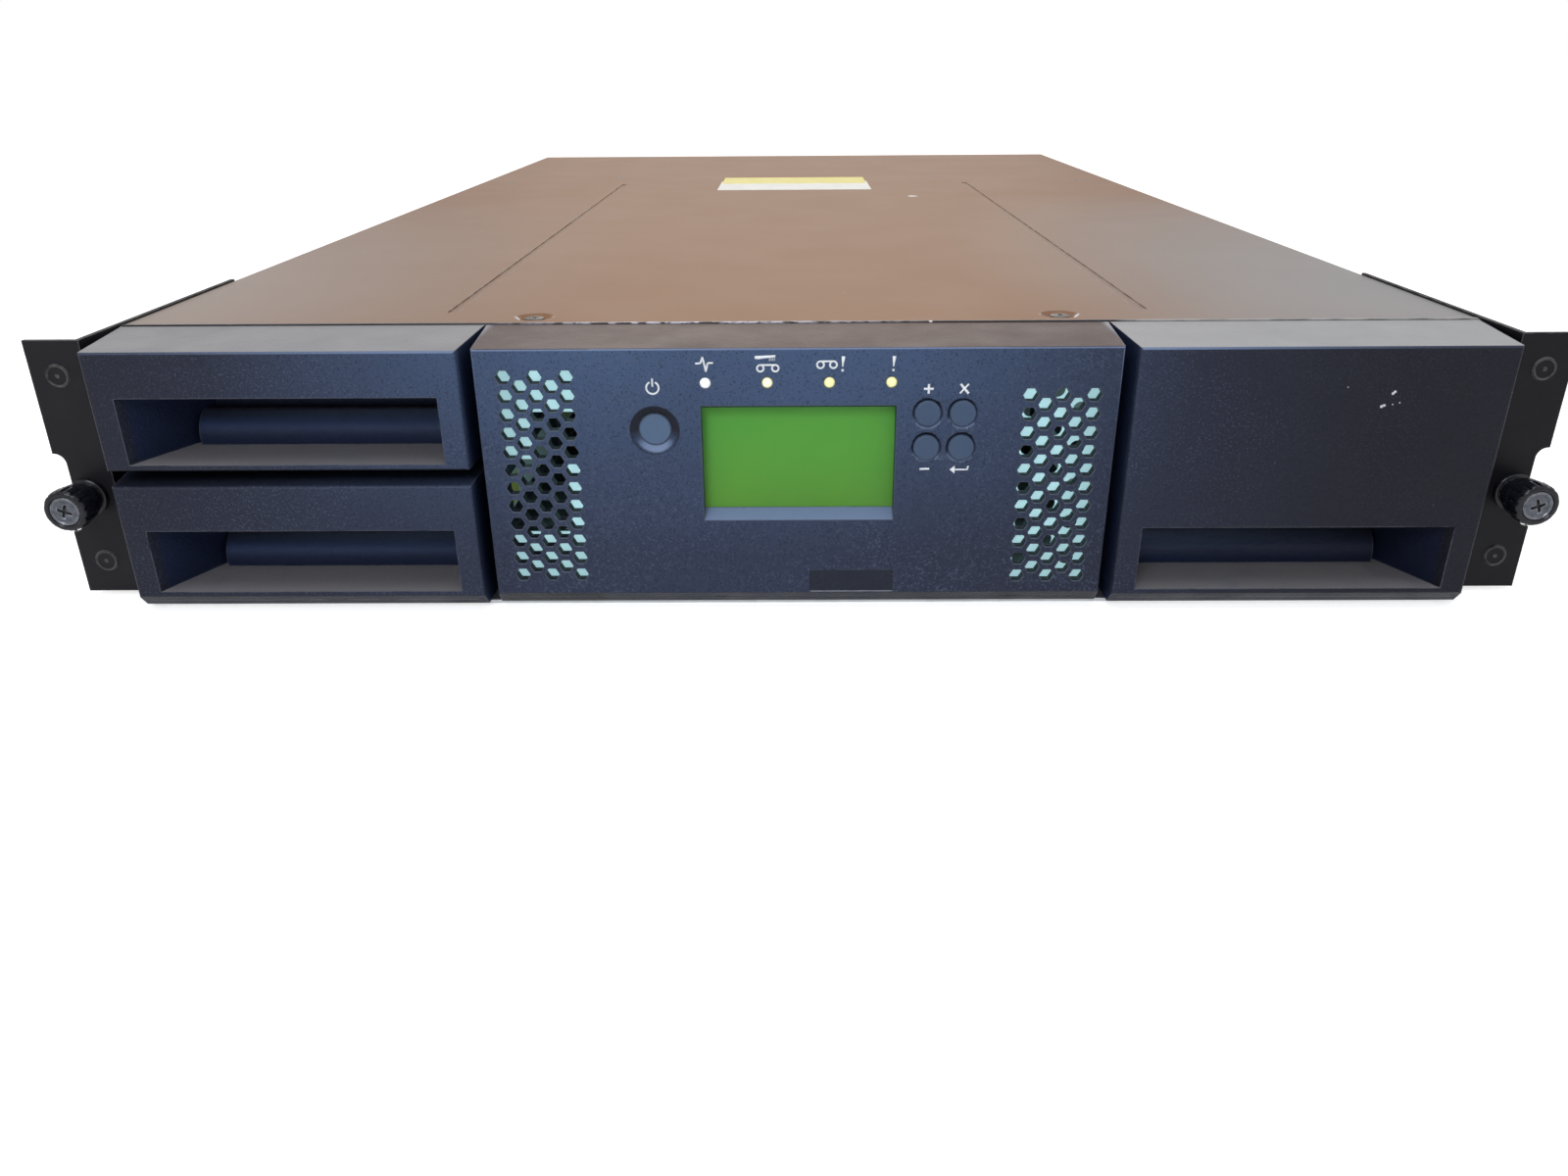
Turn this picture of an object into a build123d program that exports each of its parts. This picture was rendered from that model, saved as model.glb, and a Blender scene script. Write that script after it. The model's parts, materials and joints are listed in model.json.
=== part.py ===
from build123d import *
import math
import os

# Data tape library, two rack units high. Millimetres: X to the right, Y to the rear, Z up.
# The origin lies on the underside of the floor pan, midway between the ears, in the plane of the
# ears' rear faces, which is the face that meets the rack.

# Whole chassis
steel = 1.2
cover_sheet = 1.0
overrun = 3.0
running_gap = 0.3
pin_gap = 0.05
seat_gap = 0.4
magazine_room = 5.3

# Rack ears and their captive screws
ear_reach = 17.8
ear_sheet = 1.5
ear_bottom = 2.4
ear_top_rise = 0.8
ear_arm_length = 110.0
ear_notch_depth = 3.8
ear_notch_height = 27.0
ear_notch_middle = 37.5
ear_notch_round_share = 0.9
ear_plug_radius = 3.6
ear_plug_inset = 8.6
ear_plug_end_inset = 11.2
ear_plug_rise = 0.3
rack_screw_inset = 8.75
rack_screw_height = 36.6
rack_screw_radius = 3.0
rack_neck_radius = 2.4
rack_hole_gap = 0.4
rack_screw_reach = 11.0
knob_radius = 6.9
knob_length = 9.5
knob_face_radius = 5.3
knob_face_depth = 0.6
knob_grooves = 16
knob_groove_radius = 0.7
ferrule_radius = 6.2
ferrule_length = 5.5
ferrule_shoulder = 1.6
cross_length = 5.6
cross_width = 1.2
cross_depth = 1.2
ear_screw_radius = 1.5
ear_screw_head_radius = 3.4
ear_screw_head = 1.6

# Doors and front panel
door_reach = 15.5
bezel_depth = 38.0
door_taper = 7.2
door_inner = 102.6
door_side_gap = 0.5
door_wall = 2.5
door_chamfer = 5.0
door_edge_radius = 0.9
mail_door_height = 37.5
door_seam_gap = 5.1
pan_lip_inset = 8.0
panel_set_back = 1.9
panel_front_inset = 4.1
panel_side_gap = 0.6
door_boss_radius = 3.5
door_boss_inset = 10.5
door_boss_sink = 1.2

# Finger pockets
pocket_height = 21.2
pocket_depth = 33.0
pocket_inner_offset = 7.2
pocket_outer_offset = 7.5
pocket_wall = 2.0
pocket_outer_flare = 15.0
pocket_inner_flare = 10.0
pocket_low_bottom = 8.1
grip_front = 21.5
grip_back = 29.5
grip_height = 10.5
grip_end_space = 8.0
grip_root = 1.5
grip_crest_share = 0.66
grip_bulge_share = 0.1

# Operator controls on the front panel
display_x = 0.4
display_width = 60.2
display_drop = 17.8
display_height = 37.4
display_sill_rise = 2.7
display_head_drop = 1.8
display_depth = 5.1
display_rim = 2.6
display_glass = 1.4
power_x = -44.1
power_drop = 25.5
power_radius = 5.0
power_dish_radius = 8.0
power_dish_depth = 1.6
power_travel = 1.5
power_proud = 0.4
menu_radius = 4.0
menu_left_x = 40.05
menu_right_x = 50.85
menu_upper_drop = 20.4
menu_lower_drop = 31.3
menu_travel = 1.0
menu_proud = 0.7
button_flange = 1.3
button_flange_thick = 1.0
button_gap = 0.1
button_edge = 0.4
light_radius = 1.7
light_drop = 10.6
light_pitch = 18.9
light_first_x = -28.0
lights = 4
label_x = 17.5
label_width = 27.1
label_low = 6.9
label_high = 14.3
label_depth = 0.8

# Hexagonal vents
vent_across_flats = 4.1
vent_left_x = -89.6
vent_left_pitch_x = 4.78
vent_left_drop = 8.6
vent_left_pitch_z = 5.94
vent_right_x = 71.3
vent_right_pitch_x = 4.87
vent_right_drop = 14.8
vent_right_pitch_z = 6.0
vent_low = 12.0
vent_columns = 5

# Operator board and its bracket
bracket_y = 6.5
bracket_sheet = 1.0
bracket_foot = 8.0
bracket_front_gap = 1.5
bracket_side_gap = 1.0
bracket_tab_width = 18.0
bracket_tab_length = 37.0
bracket_notch_depth = 21.0
bracket_notch_low = 20.0
bracket_notch_high = 46.0
bracket_window_inset = 11.0
bracket_window_width = 15.0
bracket_window_high = 62.0
bracket_hole_radius = 2.6
bracket_hole_x = 76.0
bracket_hole_pitch_x = 8.0
bracket_hole_low = 10.0
bracket_hole_pitch_z = 13.0
bracket_hole_columns = 3
bracket_hole_rows = 5
board_thick = 1.6
board_y = -1.5
board_half_width = 66.0
board_drop = 6.0
board_height = 59.0
standoff_radius = 2.5
switch_side = 6.0

# Cover details
cover_flange = 8.0
groove_x = 119.0
groove_front = 43.5
groove_past_sled = 13.0
groove_width = 3.4
groove_depth = 0.5
dimple_x = 88.9
dimple_y = 35.4
dimple_radius = 6.5
dimple_floor_radius = 4.2
dimple_depth = 1.8
dimple_boss = 2.0
dimple_boss_rim = 1.0
cover_screw_radius = 1.5
cover_screw_head_radius = 3.1
cover_screw_head = 0.7
cover_screw_length = 3.5
dimple_screw_head_radius = 3.4
dimple_screw_head = 1.2
bay_screw_left_x = -128.5
bay_screw_right_x = 101.5
bay_screw_front_offset = 67.0
bay_screw_rear_inset = 11.5
wall_screw_inset = 22.0
wall_screw_offset = 27.5
wall_tab_length = 22.0
wall_tab_reach = 27.0

# Data cartridge and the magazine cells
cartridge_length = 105.4
cartridge_width = 102.0
cartridge_height = 21.5
cartridge_corner = 6.0
cartridge_label_width = 78.0
cartridge_label_height = 14.0
cartridge_label_depth = 0.5
cell_gap = 0.4
tier_bottom = 11.0
tier_wall = 1.7
tiers = 3
columns = 4
cell_divider = 2.6
magazine_plate = 2.0
magazine_wall = 2.0
magazine_side_gap = 0.8
magazine_mouth = 0.6
magazine_floor = 2.2
magazine_plate_inset = 2.0
runner_width = 3.0
runner_inset = 8.0
rib_rise = 6.5
rib_height = 6.2
rib_reach = 7.8
cell_window_width = 70.0
cell_window_height = 11.0
guide_lip = 1.2
guide_web = 1.4
guide_front = 60.0
mail_floor = 1.4
mail_rear_gap = 0.3
mail_side_drop = 0.5
mail_fence = 1.2
mail_fence_height = 7.0

# Robot: rails, carriage, turntable, lift and gripper
rail_x = 90.0
rail_width = 4.0
rail_height = 2.5
rail_front = 17.0
rail_past_magazine = 31.3
gear_module = 1.5
pinion_teeth = 18
pressure_angle = 20.0
gear_backlash = 0.24
dedendum_share = 1.25
flank_steps = 4
pinion_thick = 2.0
pinion_floor_gap = 0.4
pinion_shaft_radius = 1.5
pinion_y_offset = 60.0
motor_radius = 10.0
motor_height = 21.0
motor_bore_depth = 6.0
carriage_rest_column = 1
carriage_sheet = 1.5
carriage_half_width = 95.0
carriage_front_half = 56.0
carriage_rear_half = 76.0
shoe_width = 2.2
shoe_length = 20.0
pivot_radius = 8.0
pivot_flange_radius = 10.5
pivot_flange = 0.8
turntable_rim = 1.0
turntable_thick = 2.0
turntable_lightening_radius = 9.0
turntable_lightening_circle = 34.0
turntable_lightening_count = 6
lift_rod_radius = 2.0
lift_rod_offset = 4.5
lift_rod_y = -9.0
lift_screw_radius = 2.0
lift_screw_y = 11.0
bridge_sheet = 1.6
bridge_end = 3.5
bridge_front = -15.0
bridge_rear = 17.0
cradle_step_down = 0.4
cradle_sheet = 1.5
cradle_floor = 1.2
cradle_side_room = 2.5
cradle_front_room = 7.3
cradle_rear_room = 4.3
cradle_top_room = 0.2
cradle_window_length = 35.0
cradle_window_y = 24.0
cradle_window_height = 9.0
cradle_lug_low = 3.5
cradle_lug_height = 8.0
gripper_block_length = 6.5
gripper_arm_length = 64.0
gripper_arm_sheet = 1.6
gripper_low = 3.4
gripper_high = 15.4

# Drive sled and its bay
sled_half_width = 80.0
sled_rail_gap = 8.0
sled_wall_drop = 15.6
sled_back_room = 59.5
sled_plate_half = 86.0
sled_plate_sheet = 1.5
sled_plate_top_gap = 0.6
sled_handle_radius = 3.5
sled_handle_reach = 24.0
sled_handle_half = 34.0
sled_handle_z = 11.0
sled_handle_bend = 7.0
sled_screw_x = 82.8
sled_screw_z = 43.5
sled_screw_radius = 1.5
sled_screw_reach = 6.0
sled_knob_radius = 5.0
sled_knob_length = 11.0
sled_knob_edge = 0.75
bay_gap = 0.5
bay_flange_left = 51.8
bay_flange_right = 25.8
bay_flange_length = 30.0
drive_half_width = 73.0
drive_top_gap = 1.7
drive_length = 214.0
drive_wall = 1.6
slot_bottom = 31.0
slot_room_z = 1.5
slot_room_x = 4.2
slot_depth = 42.0
slot_wall = 1.6
sled_board_length = 48.0
sled_board_z = 20.0
sled_board_side_gap = 4.8
sled_ports = 3
sled_port_width = 16.0
sled_port_height = 9.0
sled_port_depth = 16.0
sled_port_pitch = 27.0
grille_drop = 33.0
grille_rows = 2
grille_columns = 9
grille_slot_width = 4.0
grille_slot_height = 13.0
grille_pitch_x = 8.0
grille_pitch_z = 17.0

# Power supply
supply_bay_gap = 28.3
supply_wall_gap = 5.5
supply_top_gap = 3.0
supply_length = 190.0
supply_wall = 1.2
supply_slots = 6
supply_slot_inset = 3.6
supply_slot_pitch = 12.0
supply_slot_height = 39.0
fan_offset = 35.0
fan_z = 42.0
fan_radius = 28.0
fan_hub_radius = 11.0
fan_depth = 14.0
fan_blades = 7
fan_blade_thick = 1.4
fan_blade_pitch = 35.0
fan_tip_gap = 1.2
fan_blade_root = 5.5
fan_chord_share = 0.8
fan_pin_radius = 2.0
grille_ring_width = 1.6
grille_rings = 3
grille_sheet = 1.2
grille_rim = 1.5
inlet_offset = 24.0
inlet_z = 30.0
inlet_width = 27.0
inlet_height = 20.4
inlet_flange_width = 34.0
inlet_flange_height = 27.0
inlet_flange = 1.6
inlet_depth = 20.0
inlet_cup_width = 23.0
inlet_cup_height = 16.6
inlet_cup_depth = 15.0
inlet_corner = 5.0
inlet_flange_round = 2.5
inlet_pin_width = 2.0
inlet_pin_height = 4.0
inlet_pin_pitch = 7.0
inlet_pin_length = 12.0
inlet_pin_rise = 1.5

# Library controller
controller_bay_gap = 30.3
controller_board_length = 170.0
controller_board_z = 12.0
controller_post_radius = 3.0
controller_post_inset = 8.0
controller_rear_inset = 16.0
controller_sink_side = 36.0
controller_sink_base = 2.4
controller_sink_place_share = 0.6
controller_sink_height = 14.0
controller_sink_fins = 6
controller_fin_share = 0.5
port_height = 13.5
port_depth = 17.0
port_mouth_share = 0.7
port_width = 16.0
port_pitch = 26.0
ports = 3
rear_cut_border = 5.0

# Sizes that follow from the data cartridge
cell_length = cartridge_width + 2 * cell_gap
cell_height = cartridge_height + 2 * cell_gap
column_pitch = cell_length + cell_divider
tier_pitch = cell_height + tier_wall
magazine_inner = door_inner + magazine_side_gap
cell_outer = magazine_inner + magazine_mouth + cartridge_length + cell_gap
magazine_outer = cell_outer + magazine_wall
rib_outer = magazine_outer + rib_reach
wall_inner = rib_outer + running_gap + guide_web
half_chassis = wall_inner + steel
half_body = half_chassis + cover_sheet
mail_tier = tier_bottom + (tiers - 1) * tier_pitch
magazine_top = mail_tier + cell_height + cell_gap
body_height = magazine_top + magazine_room
cover_low = body_height - cover_sheet

# Places along the depth
front_y = -door_reach
panel_front_y = front_y + panel_set_back
panel_back_face = panel_front_y + door_wall
pan_front = front_y + pan_lip_inset
bezel_back = front_y + bezel_depth
cover_front = bezel_back + running_gap
magazine_front = bezel_back + magazine_plate
first_cell = magazine_front + cell_divider
magazine_rear = first_cell + columns * column_pitch
mail_rear = first_cell + cell_length - mail_rear_gap
rail_rear = magazine_rear + rail_past_magazine
sled_front = rail_rear + sled_rail_gap
chassis_depth = sled_front + drive_length + sled_back_room
rear_inner = chassis_depth - steel

# Ears, doors and front panel
ear_inner = half_body
half_ear = half_body + ear_reach
ear_height = body_height + ear_top_rise - ear_bottom
rack_screw_x = half_ear - rack_screw_inset
door_bottom = steel + running_gap
door_top = body_height
door_seam_high = body_height - mail_door_height
door_seam_low = door_seam_high - door_seam_gap
door_front_outer = half_body - door_taper
door_back_outer = half_body - door_side_gap
pocket_high_bottom = door_seam_high + pocket_wall
pocket_inner_x = door_inner + pocket_inner_offset
pocket_outer_x = door_front_outer - pocket_outer_offset
panel_front_half = door_inner - panel_front_inset
panel_back_half = door_inner - panel_side_gap
display_top = body_height - display_drop
display_bottom = display_top - display_height
power_z = body_height - power_drop
menu_upper_z = body_height - menu_upper_drop
menu_lower_z = body_height - menu_lower_drop
light_z = body_height - light_drop
vent_left_top = body_height - vent_left_drop
vent_right_top = body_height - vent_right_drop
board_high = body_height - board_drop
board_low = board_high - board_height
bracket_half_width = panel_front_half - bracket_side_gap
bracket_top = cover_low - dimple_boss - bracket_sheet

# Cover, magazines and mail slot
groove_rear = sled_front + groove_past_sled
bay_screw_front_y = sled_front + bay_screw_front_offset
bay_screw_rear_y = chassis_depth - bay_screw_rear_inset
wall_screw_x = half_body - wall_screw_inset
wall_screw_y = sled_front + wall_screw_offset
rib_low = tier_bottom + tier_pitch + rib_rise
rib_high = rib_low + rib_height
mail_bottom = mail_tier + running_gap
mail_side_height = cartridge_height - mail_side_drop

# Robot
carriage_y = first_cell + cell_length / 2 + carriage_rest_column * column_pitch
rail_top = steel + rail_height
carriage_low = rail_top + running_gap
carriage_high = carriage_low + carriage_sheet
turntable_low = carriage_high + running_gap
turntable_high = turntable_low + turntable_thick
pitch_radius = gear_module * pinion_teeth / 2
tooth_pitch = math.pi * gear_module
rack_addendum = gear_module
rack_dedendum = dedendum_share * gear_module
rack_pitch_x = -(rail_x - rail_width / 2) + rack_dedendum
pinion_x = rack_pitch_x + pitch_radius
pinion_y = carriage_y + pinion_y_offset
pinion_low = steel + pinion_floor_gap
lift_travel = (tiers - 1) * tier_pitch
cradle_inner_half = cartridge_width / 2 + cradle_side_room
cradle_outer = cradle_inner_half + cradle_sheet
cradle_front = -(cartridge_length / 2 + cradle_front_room)
cradle_rear = cartridge_length / 2 + cradle_rear_room
cradle_floor_top = tier_bottom - cradle_step_down
cradle_low = cradle_floor_top - cradle_floor
cradle_top = cradle_floor_top + cartridge_height + cradle_top_room
lift_rod_x = cradle_outer + lift_rod_offset
bridge_half_width = lift_rod_x + bridge_end
turntable_radius = bridge_half_width + turntable_rim
bridge_low = cradle_top + lift_travel + seat_gap
bridge_high = bridge_low + bridge_sheet

# Drive bay, power supply and controller
sled_floor_low = steel + running_gap
sled_plate_top = cover_low - sled_plate_top_gap
drive_low = sled_floor_low + steel
drive_height = cover_low - drive_top_gap - drive_low
sled_wall_height = drive_height - sled_wall_drop
slot_width = cartridge_width + slot_room_x
slot_height = cartridge_height + slot_room_z
bay_inner = sled_half_width + bay_gap
bay_outer = bay_inner + steel
supply_inner_x = bay_outer + supply_bay_gap
supply_outer_x = half_chassis - supply_wall_gap
supply_top = cover_low - supply_top_gap
fan_x = supply_inner_x + fan_offset
inlet_x = supply_outer_x - inlet_offset
controller_inner_x = bay_outer + controller_bay_gap
controller_outer_x = supply_outer_x
grille_low = supply_top - grille_drop


def block(x_span, y_span, z_span):
    """A box between two ends on each axis."""
    spans = (x_span, y_span, z_span)
    sizes = [high - low for low, high in spans]
    middle = [(low + high) / 2 for low, high in spans]
    return Pos(*middle) * Box(*sizes)


def around(middle, size):
    """The two ends of a length about its middle."""
    return middle - size / 2, middle + size / 2


def post(radius, x, y, z_span):
    """A cylinder that stands along Z."""
    low, high = z_span
    return Pos(x, y, (low + high) / 2) * Cylinder(radius, high - low)


def rod(radius, x, z, y_span):
    """A cylinder that lies along Y."""
    low, high = y_span
    return Pos(x, (low + high) / 2, z) * Rot(90, 0, 0) * Cylinder(radius, high - low)


def pin(radius, y, z, x_span):
    """A cylinder that lies along X."""
    low, high = x_span
    return Pos((low + high) / 2, y, z) * Rot(0, 90, 0) * Cylinder(radius, high - low)


def plan(points, z_span):
    """A prism of an outline seen from above."""
    low, high = z_span
    return Pos(0, 0, low) * extrude(make_face(Polyline(*points, close=True)), high - low)


def joined(pieces):
    """One solid of several that touch."""
    whole = pieces[0]
    for piece in pieces[1:]:
        whole = whole + piece
    return whole


def group(pieces):
    """Separate solids kept in one node."""
    return Compound([solid for piece in pieces for solid in piece.solids()])


def to_left(piece):
    """The mirror image on the left side."""
    return mirror(piece, about=Plane.YZ)


def hexagon_field(left_x, pitch_x, top, pitch_z):
    """The centres of a staggered field of vents, down to the lowest row that fits."""
    centres = []
    rows = math.floor((top - vent_low) / pitch_z) + 1
    for column in range(vent_columns):
        shifted = column % 2
        for row in range(rows - shifted):
            height = top - (row + shifted / 2) * pitch_z
            centres.append((left_x + column * pitch_x, height))
    return centres


def vent_prisms(y_span):
    """All hexagonal vents of the front panel as one cutter."""
    low, high = y_span
    left_sizes = (vent_left_x, vent_left_pitch_x, vent_left_top, vent_left_pitch_z)
    right_sizes = (vent_right_x, vent_right_pitch_x, vent_right_top, vent_right_pitch_z)
    centres = hexagon_field(*left_sizes) + hexagon_field(*right_sizes)
    corner = vent_across_flats / math.sqrt(3)
    outline = Sketch() + [Pos(x, z) * RegularPolygon(corner, 6) for x, z in centres]
    face = Plane(origin=(0, high, 0), x_dir=(1, 0, 0), z_dir=(0, -1, 0)) * outline
    return extrude(face, high - low)


# Chassis


def make_floor_pan():
    front_half = door_front_outer - door_chamfer
    outline = [
        (-front_half, pan_front),
        (front_half, pan_front),
        (half_chassis, cover_front),
        (half_chassis, chassis_depth),
        (-half_chassis, chassis_depth),
        (-half_chassis, cover_front),
    ]
    return plan(outline, (0, steel))


def ear_screw_places():
    """Height and depth of the three screws that hold each ear."""
    low = ear_bottom + ear_plug_end_inset
    high = ear_bottom + ear_height - ear_plug_end_inset
    near = cover_front + ear_plug_end_inset
    far = ear_arm_length - ear_plug_end_inset
    return [(near, low), (far, low), (far, (low + high) / 2)]


def make_side_wall():
    wall = block((wall_inner, half_chassis), (cover_front, chassis_depth), (steel, cover_low))
    tab_y = around(wall_screw_y, wall_tab_length)
    tab = block((half_chassis - wall_tab_reach, wall_inner), tab_y, (cover_low - steel, cover_low))
    wall = wall + tab
    for y, z in ear_screw_places():
        wall = wall - pin(ear_screw_radius, y, z, (wall_inner - overrun, half_chassis + overrun))
    hole_z = (cover_low - steel - overrun, cover_low + overrun)
    return wall - post(cover_screw_radius, wall_screw_x, wall_screw_y, hole_z)


def cover_screw_places():
    """The flat screws of the cover, apart from those in the two dimples."""
    return [
        (-wall_screw_x, wall_screw_y),
        (wall_screw_x, wall_screw_y),
        (bay_screw_left_x, bay_screw_front_y),
        (bay_screw_right_x, bay_screw_front_y),
        (bay_screw_left_x, bay_screw_rear_y),
        (bay_screw_right_x, bay_screw_rear_y),
    ]


def make_top_cover():
    y_span = (cover_front, chassis_depth)
    cover = block((-half_body, half_body), y_span, (cover_low, body_height))
    flange_z = (cover_low - cover_flange, cover_low)
    for side in (-1, 1):
        edges = sorted((side * half_chassis, side * half_body))
        cover = cover + block(edges, y_span, flange_z)
        boss_z = (cover_low - dimple_boss, cover_low)
        cover = cover + post(dimple_radius + dimple_boss_rim, side * dimple_x, dimple_y, boss_z)
    for side in (-1, 1):
        x = side * dimple_x
        groove_x_span = around(side * groove_x, groove_width)
        groove_z = (body_height - groove_depth, body_height + overrun)
        cover = cover - block(groove_x_span, (groove_front, groove_rear), groove_z)
        cone_middle = body_height - dimple_depth / 2
        cone = Cone(dimple_floor_radius, dimple_radius, dimple_depth)
        cover = cover - Pos(x, dimple_y, cone_middle) * cone
        hole_z = (cover_low - dimple_boss - overrun, body_height)
        cover = cover - post(cover_screw_radius, x, dimple_y, hole_z)
    for x, y in cover_screw_places():
        cover = cover - post(cover_screw_radius, x, y, (cover_low - overrun, body_height))
        head_z = (body_height - cover_screw_head, body_height + overrun)
        cover = cover - post(cover_screw_head_radius, x, y, head_z)
    return cover


def make_cover_screws():
    screws = []
    for x, y in cover_screw_places():
        head = post(cover_screw_head_radius, x, y, (body_height - cover_screw_head, body_height))
        low = body_height - cover_screw_head - cover_screw_length
        screws.append(head + post(cover_screw_radius, x, y, (low, body_height - cover_screw_head)))
    for side in (-1, 1):
        x = side * dimple_x
        seat = body_height - dimple_depth
        head = post(dimple_screw_head_radius, x, dimple_y, (seat, seat + dimple_screw_head))
        screws.append(head + post(cover_screw_radius, x, dimple_y, (seat - cover_screw_length, seat)))
    return group(screws)


def make_ear():
    y_span = (-ear_sheet, 0)
    z_span = (ear_bottom, ear_bottom + ear_height)
    ear = block((ear_inner, half_ear), y_span, z_span)
    ear = ear + block((ear_inner, ear_inner + ear_sheet), (-ear_sheet, ear_arm_length), z_span)
    notch_x = (half_ear - ear_notch_depth, half_ear + overrun)
    notch = block(notch_x, (-ear_sheet - overrun, overrun), around(ear_notch_middle, ear_notch_height))
    bevels = notch.edges().filter_by(Axis.Y).sort_by(Axis.X)[:2]
    ear = ear - fillet(bevels, ear_notch_depth * ear_notch_round_share)
    for z in (z_span[0] + ear_plug_end_inset, z_span[1] - ear_plug_end_inset):
        x = half_ear - ear_plug_inset
        ear = ear + rod(ear_plug_radius, x, z, (-ear_sheet - ear_plug_rise, -ear_sheet))
    hole_y = (-ear_sheet - overrun, overrun)
    ear = ear - rod(rack_screw_radius + rack_hole_gap, rack_screw_x, rack_screw_height, hole_y)
    for y, z in ear_screw_places():
        ear = ear - pin(ear_screw_radius, y, z, (ear_inner - overrun, ear_inner + ear_sheet + overrun))
    return ear


def make_ear_screws():
    screws = []
    for y, z in ear_screw_places():
        head_x = ear_inner + ear_sheet
        screw = pin(ear_screw_radius, y, z, (wall_inner, head_x))
        screw = screw + pin(ear_screw_head_radius, y, z, (head_x, head_x + ear_screw_head))
        screws += [screw, to_left(screw)]
    return group(screws)


def make_ferrules():
    ferrules = []
    y_span = (-ear_sheet - ferrule_length, -ear_sheet)
    x, z = rack_screw_x, rack_screw_height
    ferrule = rod(ferrule_radius, x, z, y_span)
    rim = ferrule.faces().sort_by(Axis.Y)[0].edges()
    ferrule = chamfer(rim, ferrule_shoulder)
    ferrule = ferrule - rod(rack_neck_radius + pin_gap, x, z, (y_span[0] - overrun, overrun))
    ferrules = [ferrule, to_left(ferrule)]
    return group(ferrules)


def make_rack_screw():
    """A knob with a thin neck in the ferrule, so that the thread behind it keeps the screw captive."""
    x, z = rack_screw_x, rack_screw_height
    knob_back = -ear_sheet - ferrule_length - running_gap
    knob_front = knob_back - knob_length
    knob = rod(knob_radius, x, z, (knob_front, knob_back))
    face_y = (knob_front - overrun, knob_front + knob_face_depth)
    knob = knob - rod(knob_face_radius, x, z, face_y)
    for step in range(knob_grooves):
        angle = 2 * math.pi * step / knob_grooves
        groove_x = x + knob_radius * math.cos(angle)
        groove_z = z + knob_radius * math.sin(angle)
        groove_y = (knob_front - overrun, knob_back + overrun)
        knob = knob - rod(knob_groove_radius, groove_x, groove_z, groove_y)
    cross_y = (knob_front + knob_face_depth - overrun, knob_front + knob_face_depth + cross_depth)
    knob = knob - block(around(x, cross_length), cross_y, around(z, cross_width))
    knob = knob - block(around(x, cross_width), cross_y, around(z, cross_length))
    neck = rod(rack_neck_radius, x, z, (knob_back, running_gap))
    return knob + neck + rod(rack_screw_radius, x, z, (running_gap, rack_screw_reach))


def make_rear_panel():
    panel = block((-wall_inner, wall_inner), (rear_inner, chassis_depth), (steel, cover_low))
    y_span = (rear_inner - overrun, chassis_depth + overrun)
    bay_z = (steel - overrun, drive_low + drive_height + running_gap)
    panel = panel - block((-bay_inner, bay_inner), y_span, bay_z)
    border = rear_cut_border
    side_z = (steel + border, supply_top - border)
    panel = panel - block((supply_inner_x + border, supply_outer_x - border), y_span, side_z)
    panel = panel - block((-controller_outer_x + border, -controller_inner_x - border), y_span, side_z)
    for side in (-1, 1):
        panel = panel - rod(sled_screw_radius + pin_gap, side * sled_screw_x, sled_screw_z, y_span)
    return panel


def make_bay_brackets():
    """Upright walls of the drive bay, with flanges that carry the cover screws."""
    brackets = []
    for side, reach in ((-1, bay_flange_left), (1, bay_flange_right)):
        edges = sorted((side * bay_inner, side * bay_outer))
        y_span = (sled_front, chassis_depth - sled_screw_reach - running_gap)
        bracket = block(edges, y_span, (steel, cover_low))
        flange_x = sorted((side * bay_outer, side * (bay_outer + reach)))
        foot_x = sorted((side * bay_outer, side * (bay_outer + bay_flange_right)))
        bracket = bracket + block(foot_x, y_span, (steel, 2 * steel))
        for y in (bay_screw_front_y, bay_screw_rear_y):
            flange_y = (y - bay_flange_length / 2, min(y + bay_flange_length / 2, y_span[1]))
            bracket = bracket + block(flange_x, flange_y, (cover_low - steel, cover_low))
        brackets.append(bracket)
    whole = group(brackets)
    for x, y in cover_screw_places()[2:]:
        hole_z = (cover_low - steel - overrun, cover_low + overrun)
        whole = whole - post(cover_screw_radius, x, y, hole_z)
    return whole


# Doors


def door_outline(inset, back):
    """A door seen from above: straight beside the panel, tapered towards the ear."""
    front = front_y + inset
    taper = (door_back_outer - door_front_outer) / bezel_depth
    back_outer = door_back_outer + taper * (back - bezel_back)
    front_outer = door_front_outer + taper * inset
    return [
        (door_inner + inset, front),
        (front_outer - inset, front),
        (back_outer - inset, back),
        (door_inner + inset, back),
    ]


def front_chamfer(half_width, z_low, y_front):
    """A wedge that cuts the lower front edge."""
    points = [
        (y_front - overrun, z_low - overrun),
        (y_front - overrun, z_low + door_chamfer + overrun),
        (y_front + door_chamfer + overrun, z_low - overrun),
    ]
    face = make_face(Plane.YZ * Polyline(*points, close=True))
    return Pos(-half_width, 0, 0) * extrude(face, 2 * half_width, dir=(1, 0, 0))


def pocket_outline(grow, y_front, y_back):
    """The finger pocket seen from above, with both ends flared towards its mouth."""
    return [
        (pocket_inner_x - grow, y_front),
        (pocket_outer_x + grow, y_front),
        (pocket_outer_x - pocket_outer_flare + grow, y_back),
        (pocket_inner_x + pocket_inner_flare - grow, y_back),
    ]


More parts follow.
